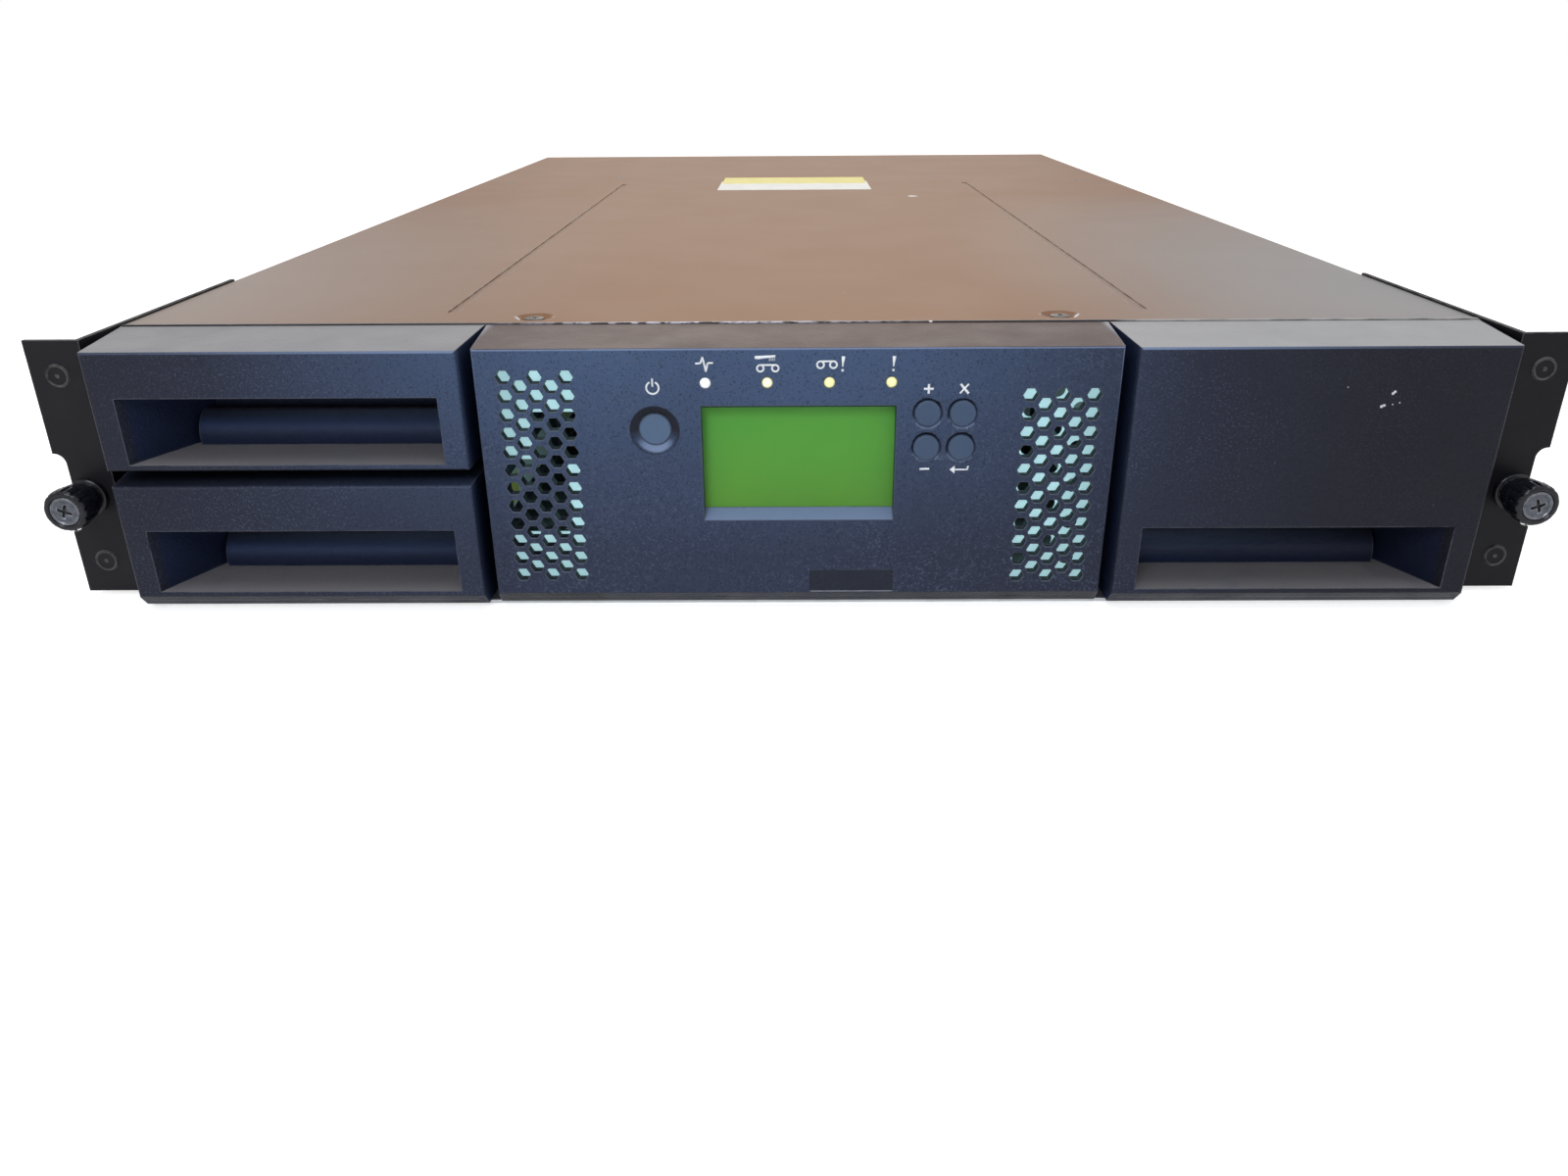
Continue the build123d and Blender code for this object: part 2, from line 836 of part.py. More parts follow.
def make_grip(bottom):
    """The rolled bar behind the sill that the fingers pull on."""
    front = front_y + grip_front
    back = front_y + grip_back
    top = bottom + grip_height
    root = bottom - grip_root
    crest = (front + (back - front) * grip_crest_share, top)
    bulge = (front + (back - front) * grip_bulge_share, bottom + grip_height * grip_crest_share)
    section = [
        Line((front, root), (front, bottom)),
        ThreePointArc((front, bottom), bulge, crest),
        Line(crest, (back, top)),
        Line((back, top), (back, root)),
        Line((back, root), (front, root)),
    ]
    face = make_face(Plane.YZ * Curve(section))
    bar = extrude(face, pocket_outer_x - pocket_inner_x - grip_end_space - pocket_inner_flare, dir=(1, 0, 0))
    return Pos(pocket_inner_x + pocket_inner_flare / 2, 0, 0) * bar


def make_door(bottom, top, pocket_bottom, has_chamfer):
    """A hollow door open at the back, with its finger pocket and two screw bosses."""
    outer = plan(door_outline(0, bezel_back), (bottom, top))
    if has_chamfer:
        outer = outer - front_chamfer(half_body, bottom, front_y)
    outer = fillet(outer.faces().sort_by(Axis.Y)[0].edges(), door_edge_radius)
    cavity = plan(door_outline(door_wall, bezel_back + overrun), (bottom + door_wall, top - door_wall))
    shell = outer - cavity
    pocket_back = front_y + pocket_depth
    liner_z = (pocket_bottom - pocket_wall, pocket_bottom + pocket_height + pocket_wall)
    liner = plan(pocket_outline(pocket_wall, front_y, pocket_back + pocket_wall), liner_z)
    shell = shell + (liner & outer)
    boss_z = top - door_wall - door_boss_radius + door_boss_sink
    for x in (door_inner + door_boss_inset, door_front_outer - door_boss_inset):
        shell = shell + rod(door_boss_radius, x, boss_z, (front_y + door_wall / 2, bezel_back))
    mouth_z = (pocket_bottom, pocket_bottom + pocket_height)
    void = plan(pocket_outline(0, front_y, pocket_back), mouth_z)
    ahead = block((pocket_inner_x, pocket_outer_x), (front_y - overrun, front_y), mouth_z)
    shell = shell - void - ahead
    return shell + (make_grip(pocket_bottom) & liner)


# Magazines


def cell_bottom(tier):
    return tier_bottom + tier * tier_pitch


def cell_front(column):
    return first_cell + column * column_pitch


def magazine_cells(has_mail_slot):
    """Column and tier of every cell that holds a cartridge."""
    cells = []
    for column in range(columns):
        for tier in range(tiers):
            if not (has_mail_slot and column == 0 and tier == tiers - 1):
                cells.append((column, tier))
    return cells


def make_cartridge(column, tier):
    x_span = (cell_outer - cartridge_length, cell_outer)
    y_span = (cell_front(column) + cell_gap, cell_front(column) + cell_gap + cartridge_width)
    z_span = (cell_bottom(tier), cell_bottom(tier) + cartridge_height)
    shell = block(x_span, y_span, z_span)
    corner = shell.edges().filter_by(Axis.Z).sort_by(Axis.X)[-2:]
    shell = chamfer(corner, cartridge_corner)
    label_y = around((y_span[0] + y_span[1]) / 2, cartridge_label_width)
    label_z = around((z_span[0] + z_span[1]) / 2, cartridge_label_height)
    label_x = (x_span[0] - overrun, x_span[0] + cartridge_label_depth)
    return shell - block(label_x, label_y, label_z)


def make_cartridges(has_mail_slot):
    return [make_cartridge(column, tier) for column, tier in magazine_cells(has_mail_slot)]


def make_magazine_tray(has_mail_slot):
    """A moulded tray of cells open towards the robot, with runners and a side rib."""
    floor_low = tier_bottom - magazine_floor
    x_span = (magazine_inner, magazine_outer)
    tray = block(x_span, (magazine_front, magazine_rear), (floor_low, magazine_top))
    plate_top = magazine_top
    if has_mail_slot:
        plate_top = door_seam_low
        missing_y = (magazine_front - overrun, first_cell + cell_length)
        missing_z = (mail_tier, magazine_top + overrun)
        missing_x = (magazine_inner - overrun, magazine_outer + overrun)
        tray = tray - block(missing_x, missing_y, missing_z)
        fence_x = (magazine_outer + running_gap, magazine_outer + running_gap + mail_fence)
        fence_z = (mail_tier - magazine_wall, mail_tier + mail_fence_height)
        tray = tray + block(fence_x, (first_cell, first_cell + cell_length), fence_z)
        root_x = (magazine_outer, fence_x[1])
        root_z = (mail_tier - magazine_wall, mail_tier)
        tray = tray + block(root_x, (first_cell, first_cell + cell_length), root_z)
    plate_x = (magazine_inner, wall_inner - door_side_gap)
    plate_z = (door_bottom + magazine_plate_inset, plate_top)
    tray = tray + block(plate_x, (bezel_back, magazine_front), plate_z)
    for x in (magazine_inner + runner_inset, magazine_outer - runner_inset):
        runner_z = (door_bottom, floor_low)
        tray = tray + block(around(x, runner_width), (magazine_front, magazine_rear), runner_z)
    rib_x = (magazine_outer, rib_outer)
    tray = tray + block(rib_x, (magazine_front, magazine_rear), (rib_low, rib_high))
    for column, tier in magazine_cells(has_mail_slot):
        low = cell_bottom(tier)
        y_span = (cell_front(column), cell_front(column) + cell_length)
        mouth_x = (magazine_inner - overrun, cell_outer)
        tray = tray - block(mouth_x, y_span, (low, low + cell_height))
        if tier != tiers // 2:
            window_y = around(sum(y_span) / 2, cell_window_width)
            window_z = around(low + cell_height / 2, cell_window_height)
            window_x = (cell_outer - overrun, magazine_outer + overrun)
            tray = tray - block(window_x, window_y, window_z)
    return tray


def make_magazine_guides():
    """A channel on the side wall that takes the magazine's rib."""
    y_span = (guide_front, magazine_rear)
    low = rib_low - running_gap - guide_lip
    high = rib_high + running_gap + guide_lip
    lip_inner = magazine_outer + magazine_wall
    web = block((rib_outer + running_gap, wall_inner), y_span, (low, high))
    lower = block((lip_inner, wall_inner), y_span, (low, low + guide_lip))
    upper = block((lip_inner, wall_inner), y_span, (high - guide_lip, high))
    return web + lower + upper


def make_mail_tray():
    """The one-cartridge tray behind the upper left door, open at the top and towards the robot."""
    high = mail_bottom + mail_side_height
    x_span = (magazine_inner, magazine_outer)
    floor_z = (mail_bottom, mail_bottom + mail_floor)
    floor = block(x_span, (magazine_front, mail_rear), floor_z)
    side = block((cell_outer, magazine_outer), (magazine_front, mail_rear), (mail_bottom, high))
    plate_z = (door_seam_high + magazine_plate_inset, high)
    plate_x = (magazine_inner, wall_inner - door_side_gap)
    plate = block(plate_x, (bezel_back, magazine_front), plate_z)
    stop = block(x_span, (magazine_front, first_cell), (mail_bottom, high))
    return joined([floor, side, plate, stop])


# Front panel and operator controls


def panel_outline(inset, back):
    front = panel_front_y + inset
    taper = (panel_back_half - panel_front_half) / (bezel_back - panel_front_y)
    front_half = panel_front_half + taper * inset - inset
    back_half = panel_back_half + taper * (back - bezel_back) - inset
    return [(-front_half, front), (front_half, front), (back_half, back), (-back_half, back)]


def rectangle_at(x_span, z_span, y):
    """A rectangle that faces the front, at one depth."""
    width = x_span[1] - x_span[0]
    height = z_span[1] - z_span[0]
    middle = (sum(x_span) / 2, y, sum(z_span) / 2)
    face = Plane(origin=middle, x_dir=(1, 0, 0), z_dir=(0, -1, 0))
    return face * Rectangle(width, height)


def button_places():
    """Name, place, radius, proud face and travel of each button."""
    menu = {
        "plus_button": (menu_left_x, menu_upper_z),
        "cancel_button": (menu_right_x, menu_upper_z),
        "minus_button": (menu_left_x, menu_lower_z),
        "enter_button": (menu_right_x, menu_lower_z),
    }
    power_face = power_proud - power_dish_depth
    places = {"power_button": (power_x, power_z, power_radius, power_face, power_travel)}
    for name, (x, z) in menu.items():
        places[name] = (x, z, menu_radius, menu_proud, menu_travel)
    return places


def make_front_panel():
    outer = plan(panel_outline(0, bezel_back), (steel, door_top))
    outer = outer - front_chamfer(half_body, door_bottom, panel_front_y)
    outer = fillet(outer.faces().sort_by(Axis.Y)[0].edges(), door_edge_radius)
    inner_z = (steel + door_wall, door_top - door_wall)
    shell = outer - plan(panel_outline(door_wall, bezel_back + overrun), inner_z)
    foot_y = (bracket_y - bracket_front_gap, bezel_back + overrun)
    shell = shell - block((-bracket_half_width, bracket_half_width), foot_y, (0, inner_z[0]))
    x_span = around(display_x, display_width)
    rim_x = (x_span[0] - display_rim, x_span[1] + display_rim)
    rim_z = (display_bottom - display_rim, display_top + display_rim)
    glass_front = panel_front_y + display_depth
    shell = shell + block(rim_x, (panel_front_y + door_wall / 2, glass_front), rim_z)
    mouth = rectangle_at(x_span, (display_bottom, display_top), panel_front_y)
    sill_z = (display_bottom + display_sill_rise, display_top - display_head_drop)
    sill = rectangle_at(x_span, sill_z, glass_front)
    shell = shell - loft([mouth, sill])
    dish_y = panel_front_y + power_dish_depth / 2
    hole = power_radius + button_gap
    dish = Cone(power_dish_radius, hole, power_dish_depth)
    shell = shell - Pos(power_x, dish_y, power_z) * Rot(-90, 0, 0) * dish
    through = (panel_front_y - overrun, panel_back_face + overrun)
    for x, z, radius, _, _ in button_places().values():
        shell = shell - rod(radius + button_gap, x, z, through)
    for step in range(lights):
        x = light_first_x + step * light_pitch
        shell = shell - rod(light_radius, x, light_z, through)
    label_y = (panel_front_y - overrun, panel_front_y + label_depth)
    shell = shell - block(around(label_x, label_width), label_y, (label_low, label_high))
    return shell - vent_prisms(through)


def make_button(x, z, radius, proud, travel):
    face = panel_front_y - proud
    flange_front = panel_back_face + button_gap
    cap = rod(radius, x, z, (face, flange_front))
    cap = chamfer(cap.faces().sort_by(Axis.Y)[0].edges(), button_edge)
    return cap + rod(radius + button_flange, x, z, (flange_front, flange_front + button_flange_thick))


def make_display_glass():
    front = panel_front_y + display_depth
    x_span = around(display_x, display_width + display_rim)
    z_span = (display_bottom - display_rim / 2, display_top + display_rim / 2)
    return block(x_span, (front, front + display_glass), z_span)


def make_display_frame():
    front = panel_front_y + display_depth
    x_span = around(display_x, display_width + 2 * display_rim)
    z_span = (display_bottom - display_rim, display_top + display_rim)
    frame = block(x_span, (front, board_y), z_span)
    glass_x = around(display_x, display_width + display_rim)
    glass_z = (display_bottom - display_rim / 2, display_top + display_rim / 2)
    return frame - block(glass_x, (front - overrun, front + display_glass), glass_z)


def make_light(step):
    x = light_first_x + step * light_pitch
    return rod(light_radius - pin_gap, x, light_z, (panel_front_y, board_y))


def make_operator_board():
    y_span = (board_y, board_y + board_thick)
    board = block((-board_half_width, board_half_width), y_span, (board_low, board_high))
    for x, z, _, _, travel in button_places().values():
        back = panel_back_face + button_gap + button_flange_thick
        switch_y = (back + travel + button_gap, board_y)
        board = board + block(around(x, switch_side), switch_y, around(z, switch_side))
    return board


def make_operator_bracket():
    y_span = (bracket_y, bracket_y + bracket_sheet)
    sheet = block((-bracket_half_width, bracket_half_width), y_span, (steel, bracket_top))
    foot_y = (bracket_y + bracket_sheet, bracket_y + bracket_sheet + bracket_foot)
    foot_z = (steel, steel + bracket_sheet)
    sheet = sheet + block((-bracket_half_width, bracket_half_width), foot_y, foot_z)
    tab_z = (bracket_top, bracket_top + bracket_sheet)
    tab_y = (bracket_y, bracket_y + bracket_tab_length)
    hole_z = (bracket_top - overrun, bracket_top + overrun)
    for side in (-1, 1):
        low, high = around(side * dimple_x, bracket_tab_width)
        tab_x = (max(low, -bracket_half_width), min(high, bracket_half_width))
        sheet = sheet + block(tab_x, tab_y, tab_z)
        sheet = sheet - post(cover_screw_radius, side * dimple_x, dimple_y, hole_z)
    for x in (-board_half_width + switch_side, board_half_width - switch_side):
        for z in (board_low + switch_side, board_high - switch_side):
            sheet = sheet + rod(standoff_radius, x, z, (board_y + board_thick, bracket_y))
    cut_y = (bracket_y - overrun, bracket_y + bracket_sheet + overrun)
    notch_x = (-bracket_half_width - overrun, -bracket_half_width + bracket_notch_depth)
    sheet = sheet - block(notch_x, cut_y, (bracket_notch_low, bracket_notch_high))
    window_left = -bracket_half_width + bracket_window_inset
    window_x = (window_left, window_left + bracket_window_width)
    sheet = sheet - block(window_x, cut_y, (bracket_notch_high, bracket_window_high))
    for column in range(bracket_hole_columns):
        x = bracket_hole_x + column * bracket_hole_pitch_x
        for row in range(bracket_hole_rows):
            z = bracket_hole_low + (row + column % 2 / 2) * bracket_hole_pitch_z
            sheet = sheet - rod(bracket_hole_radius, x, z, cut_y)
    return sheet


# Robot


def rack_tooth(y):
    """One straight-sided rack tooth, seen from above."""
    root_x = rack_pitch_x - rack_dedendum
    tip_x = rack_pitch_x + rack_addendum
    slope = math.tan(math.radians(pressure_angle))
    half = tooth_pitch / 4 - gear_backlash / 4
    wide = half + rack_dedendum * slope
    thin = half - rack_addendum * slope
    return [(root_x, y - wide), (tip_x, y - thin), (tip_x, y + thin), (root_x, y + wide)]


def make_toothed_rail():
    """The left rail. One gap between teeth faces the pinion at rest."""
    edge = -rail_x + rail_width / 2
    first = math.ceil((rail_front + tooth_pitch - pinion_y) / tooth_pitch)
    last = math.floor((rail_rear - tooth_pitch - pinion_y) / tooth_pitch)
    points = [(edge, rail_front)]
    for number in range(first, last):
        points += rack_tooth(pinion_y + (number + 0.5) * tooth_pitch)
    points += [(edge, rail_rear), (edge - rail_width, rail_rear), (edge - rail_width, rail_front)]
    return plan(points, (steel, rail_top))


def make_plain_rail():
    return block(around(rail_x, rail_width), (rail_front, rail_rear), (steel, rail_top))


def involute(base_radius, radius):
    """Polar angle of an involute where it reaches a radius."""
    roll = math.sqrt(max((radius / base_radius) ** 2 - 1, 0))
    return roll - math.atan(roll)


def on_circle(radius, angle):
    return radius * math.cos(angle), radius * math.sin(angle)


def pinion_outline():
    """Involute teeth; one tooth points along -X, into the gap of the rack."""
    base = pitch_radius * math.cos(math.radians(pressure_angle))
    root = pitch_radius - rack_dedendum
    tip = pitch_radius + rack_addendum
    half_tooth = math.pi / (2 * pinion_teeth) - gear_backlash / (4 * pitch_radius)
    start = half_tooth + involute(base, pitch_radius)
    flank = [(root, start)]
    for step in range(flank_steps + 1):
        radius = base + (tip - base) * step / flank_steps
        flank.append((radius, start - involute(base, radius)))
    points = []
    for tooth in range(pinion_teeth):
        centre = math.pi + 2 * math.pi * tooth / pinion_teeth
        for radius, angle in flank:
            points.append(on_circle(radius, centre - angle))
        for radius, angle in reversed(flank):
            points.append(on_circle(radius, centre + angle))
    return points


def make_pinion():
    gear = Pos(pinion_x, pinion_y, 0) * plan(pinion_outline(), (pinion_low, pinion_low + pinion_thick))
    shaft_top = carriage_high + motor_bore_depth - running_gap
    return gear + post(pinion_shaft_radius, pinion_x, pinion_y, (pinion_low, shaft_top))


def make_motor():
    motor = post(motor_radius, pinion_x, pinion_y, (carriage_high, carriage_high + motor_height))
    bore_z = (carriage_high - overrun, carriage_high + motor_bore_depth)
    return motor - post(pinion_shaft_radius + pin_gap, pinion_x, pinion_y, bore_z)


def make_carriage():
    y_span = (carriage_y - carriage_front_half, carriage_y + carriage_rear_half)
    plate = block((-carriage_half_width, carriage_half_width), y_span, (carriage_low, carriage_high))
    shoe_z = (door_bottom + running_gap, carriage_low)
    outer_face = rail_x + rail_width / 2 + running_gap
    inner_face = rail_x - rail_width / 2 - running_gap
    outer_x = (outer_face, outer_face + shoe_width)
    inner_x = (inner_face - shoe_width, inner_face)
    for low in (y_span[0], y_span[1] - shoe_length):
        shoe_y = (low, low + shoe_length)
        plate = plate + block(outer_x, shoe_y, shoe_z) + block(inner_x, shoe_y, shoe_z)
        plate = plate + block((-outer_x[1], -outer_x[0]), shoe_y, shoe_z)
    hole_z = (carriage_low - overrun, carriage_high + overrun)
    plate = plate - post(pinion_shaft_radius + running_gap, pinion_x, pinion_y, hole_z)
    plate = plate + post(pivot_radius, 0, carriage_y, (carriage_high, turntable_high + running_gap))
    flange_low = turntable_high + running_gap
    return plate + post(pivot_flange_radius, 0, carriage_y, (flange_low, flange_low + pivot_flange))


def make_turntable():
    disc = post(turntable_radius, 0, carriage_y, (turntable_low, turntable_high))
    cut_z = (turntable_low - overrun, turntable_high + overrun)
    disc = disc - post(pivot_radius + pin_gap, 0, carriage_y, cut_z)
    for step in range(turntable_lightening_count):
        angle = 2 * math.pi * (step + 0.5) / turntable_lightening_count
        x = turntable_lightening_circle * math.cos(angle)
        y = carriage_y + turntable_lightening_circle * math.sin(angle)
        disc = disc - post(turntable_lightening_radius, x, y, cut_z)
    return disc - post(lift_screw_radius + pin_gap, -lift_rod_x, carriage_y + lift_screw_y, cut_z)


def make_lift_rods():
    z_span = (turntable_high, bridge_low)
    rod_y = carriage_y + lift_rod_y
    return [post(lift_rod_radius, x, rod_y, z_span) for x in (-lift_rod_x, lift_rod_x)]


def make_bridge():
    y_span = (carriage_y + bridge_front, carriage_y + bridge_rear)
    bridge = block((-bridge_half_width, bridge_half_width), y_span, (bridge_low, bridge_high))
    hole_z = (bridge_low - overrun, bridge_high + overrun)
    return bridge - post(lift_screw_radius + pin_gap, -lift_rod_x, carriage_y + lift_screw_y, hole_z)


def make_lift_screw():
    z_span = (turntable_low + running_gap, bridge_high)
    return post(lift_screw_radius, -lift_rod_x, carriage_y + lift_screw_y, z_span)


def make_cradle():
    """The moving cell that carries a cartridge, with lugs on the lift rods."""
    y_span = (carriage_y + cradle_front, carriage_y + cradle_rear)
    cradle = block((-cradle_outer, cradle_outer), y_span, (cradle_low, cradle_top))
    hollow_y = (y_span[0] - overrun, y_span[1] + overrun)
    hollow_z = (cradle_floor_top, cradle_top + overrun)
    cradle = cradle - block((-cradle_inner_half, cradle_inner_half), hollow_y, hollow_z)
    window_y = around(carriage_y + cradle_window_y, cradle_window_length)
    window_z = around((cradle_floor_top + cradle_top) / 2, cradle_window_height)
    cradle = cradle - block((-cradle_outer - overrun, cradle_outer + overrun), window_y, window_z)
    lug_z = (cradle_low + cradle_lug_low, cradle_low + cradle_lug_low + cradle_lug_height)
    lug_y = (carriage_y + bridge_front, carriage_y + bridge_rear)
    bore_z = (lug_z[0] - overrun, lug_z[1] + overrun)
    for side in (-1, 1):
        lug_x = sorted((side * cradle_outer, side * bridge_half_width))
        cradle = cradle + block(lug_x, lug_y, lug_z)
        x = side * lift_rod_x
        cradle = cradle - post(lift_rod_radius + pin_gap, x, carriage_y + lift_rod_y, bore_z)
    return cradle - post(lift_screw_radius + pin_gap, -lift_rod_x, carriage_y + lift_screw_y, bore_z)


def make_gripper():
    """A pusher block with two arms that reach past the sides of a cartridge."""
    low = cradle_floor_top + running_gap
    high = cradle_floor_top + gripper_high
    half = cradle_inner_half - running_gap
    back = carriage_y + cradle_front + running_gap
    block_y = (back, back + gripper_block_length)
    gripper = block((-half, half), block_y, (low, high))
    arm_y = (block_y[1], block_y[1] + gripper_arm_length)
    for side in (-1, 1):
        arm_x = sorted((side * (half - gripper_arm_sheet), side * half))
        gripper = gripper + block(arm_x, arm_y, (cradle_floor_top + gripper_low, high))
    return gripper


# Drive sled


def make_sled_tray():
    y_span = (sled_front, chassis_depth)
    floor = block((-sled_half_width, sled_half_width), y_span, (sled_floor_low, drive_low))
    wall_x = (sled_half_width - steel, sled_half_width)
    wall = block(wall_x, y_span, (drive_low, drive_low + sled_wall_height))
    return joined([floor, wall, to_left(wall)])


def make_tape_drive():
    """A full-height drive with a slot that takes one cartridge."""
    x_span = (-drive_half_width, drive_half_width)
    y_span = (sled_front, sled_front + drive_length)
    z_span = (drive_low, drive_low + drive_height)
    case = block(x_span, y_span, z_span)
    inner = [(low + drive_wall, high - drive_wall) for low, high in (x_span, y_span, z_span)]
    case = case - block(*inner)
    wall = slot_wall
    tunnel_x = around(0, slot_width + 2 * wall)
    tunnel_z = (slot_bottom - wall, slot_bottom + slot_height + wall)
    case = case + block(tunnel_x, (sled_front, sled_front + slot_depth + wall), tunnel_z)
    slot_y = (sled_front - overrun, sled_front + slot_depth)
    case = case - block(around(0, slot_width), slot_y, (slot_bottom, slot_bottom + slot_height))
    return case


def in_a_row(middle, pitch, count):
    """Evenly spaced places about a middle."""
    return [middle + (number - (count - 1) / 2) * pitch for number in range(count)]


def sled_port_places():
    return in_a_row(0, sled_port_pitch, sled_ports)


def cut_grille(plate, middle, y_span):
    """Upright vent slots in rows, through a rear plate."""
    for row in range(grille_rows):
        z_span = around(grille_low + row * grille_pitch_z, grille_slot_height)
        for x in in_a_row(middle, grille_pitch_x, grille_columns):
            plate = plate - block(around(x, grille_slot_width), y_span, z_span)
    return plate


def make_sled_plate():
    plate_y = (chassis_depth, chassis_depth + sled_plate_sheet)
    plate = block((-sled_plate_half, sled_plate_half), plate_y, (sled_floor_low, sled_plate_top))
    cut_y = (chassis_depth - overrun, chassis_depth + sled_plate_sheet + overrun)
    port_z = (sled_board_z + board_thick, sled_board_z + board_thick + sled_port_height)
    for x in sled_port_places():
        plate = plate - block(around(x, sled_port_width), cut_y, port_z)
    for side in (-1, 1):
        plate = plate - rod(sled_screw_radius + pin_gap, side * sled_screw_x, sled_screw_z, cut_y)
    return cut_grille(plate, 0, cut_y)


def make_sled_handle():
    """A bow handle bent from round bar."""
    base = chassis_depth + sled_plate_sheet
    crown = base + sled_handle_reach
    bow = FilletPolyline(
        (-sled_handle_half, base, sled_handle_z),
        (-sled_handle_half, crown, sled_handle_z),
        (sled_handle_half, crown, sled_handle_z),
        (sled_handle_half, base, sled_handle_z),
        radius=sled_handle_bend,
    )
    end = Plane(origin=(-sled_handle_half, base, sled_handle_z), z_dir=(0, 1, 0))
    return sweep(end * Circle(sled_handle_radius), path=bow)


def make_sled_board():
    half = sled_half_width - sled_board_side_gap
    x_span = (-half, half)
    y_span = (chassis_depth - sled_board_length, chassis_depth)
    board = block(x_span, y_span, (sled_board_z, sled_board_z + board_thick))
    for x in (x_span[0] + controller_post_inset, x_span[1] - controller_post_inset):
        y = sum(y_span) / 2
        board = board + post(controller_post_radius, x, y, (drive_low, sled_board_z))
    port_z = (sled_board_z + board_thick, sled_board_z + board_thick + sled_port_height)
    port_y = (chassis_depth - sled_port_depth, chassis_depth + sled_plate_sheet)
    for x in sled_port_places():
        board = board + block(around(x, sled_port_width), port_y, port_z)
        mouth_x = around(x, sled_port_width - 2 * steel)
        mouth_z = (port_z[0] + steel, port_z[1] - steel)
        mouth_y = (chassis_depth - sled_port_depth / 2, chassis_depth + sled_plate_sheet + overrun)
        board = board - block(mouth_x, mouth_y, mouth_z)
    return board


def make_sled_screw():
    x, z = sled_screw_x, sled_screw_z
    back = chassis_depth + sled_plate_sheet + running_gap
    knob = rod(sled_knob_radius, x, z, (back, back + sled_knob_length))
    knob = chamfer(knob.faces().sort_by(Axis.Y)[-1].edges(), sled_knob_edge)
    slot_y = (back + sled_knob_length - cross_depth, back + sled_knob_length + overrun)
    knob = knob - block(around(x, 2 * sled_knob_radius), slot_y, around(z, cross_width))
    return knob + rod(sled_screw_radius, x, z, (chassis_depth - sled_screw_reach, back))


# Power supply


def make_supply_case():
    x_span = (supply_inner_x, supply_outer_x)
    y_span = (rear_inner - supply_length, rear_inner)
    z_span = (steel, supply_top)
    case = block(x_span, y_span, z_span)
    inner = [(low + supply_wall, high - supply_wall) for low, high in (x_span, y_span, z_span)]
    case = case - block(*inner)
    wall_y = (rear_inner - supply_wall - overrun, rear_inner + overrun)
    case = case - rod(fan_radius, fan_x, fan_z, wall_y)
    case = case - block(around(inlet_x, inlet_width), wall_y, around(inlet_z, inlet_height))
    slot_y = (y_span[0] - overrun, y_span[0] + supply_wall + overrun)
    for column in range(supply_slots):
        x = supply_inner_x + supply_slot_inset + (column + 1) * supply_slot_pitch
        slot = block(around(x, grille_slot_width), slot_y, around(fan_z, supply_slot_height))
        case = case - slot
    return case


def make_fan_grille():
    """Concentric rings on a cross of spokes, with a pin for the rotor."""
    y_span = (rear_inner, rear_inner + grille_sheet)
    cut_y = (y_span[0] - overrun, y_span[1] + overrun)
    rings = []
    ring_step = (fan_radius - fan_hub_radius) / grille_rings
    for number in range(grille_rings + 1):
        outer = fan_hub_radius + number * ring_step
        if number == grille_rings:
            outer = fan_radius + grille_rim
        hole = rod(outer - grille_ring_width, fan_x, fan_z, cut_y)
        rings.append(rod(outer, fan_x, fan_z, y_span) - hole)
    hub = rod(fan_hub_radius - grille_ring_width / 2, fan_x, fan_z, y_span)
    spoke = block(around(fan_x, 2 * fan_radius), y_span, around(fan_z, 2 * grille_ring_width))
    cross = block(around(fan_x, 2 * grille_ring_width), y_span, around(fan_z, 2 * fan_radius))
    axle = rod(fan_pin_radius, fan_x, fan_z, (rear_inner - fan_depth, rear_inner))
    return joined([hub, spoke, cross, axle] + rings)


def make_fan_rotor():
    back = rear_inner - running_gap
    front = rear_inner - fan_depth
    y_span = (front, back)
    hub = rod(fan_hub_radius, fan_x, fan_z, y_span)
    blades = []
    tip = fan_radius - fan_tip_gap
    chord = (back - front) * fan_chord_share
    middle_y = (front + back) / 2
    root = fan_hub_radius - fan_blade_root
    for step in range(fan_blades):
        blade = Box(fan_blade_thick, chord, tip - root)
        blade = Pos(0, 0, (root + tip) / 2) * Rot(0, 0, fan_blade_pitch) * blade
        turned = Pos(fan_x, middle_y, fan_z) * Rot(0, 360 * step / fan_blades, 0) * blade
        blades.append(turned)
    rim = rod(tip, fan_x, fan_z, y_span)
    rotor = joined([hub] + blades) & rim
    return rotor - rod(fan_pin_radius + pin_gap, fan_x, fan_z, (front - overrun, back + overrun))


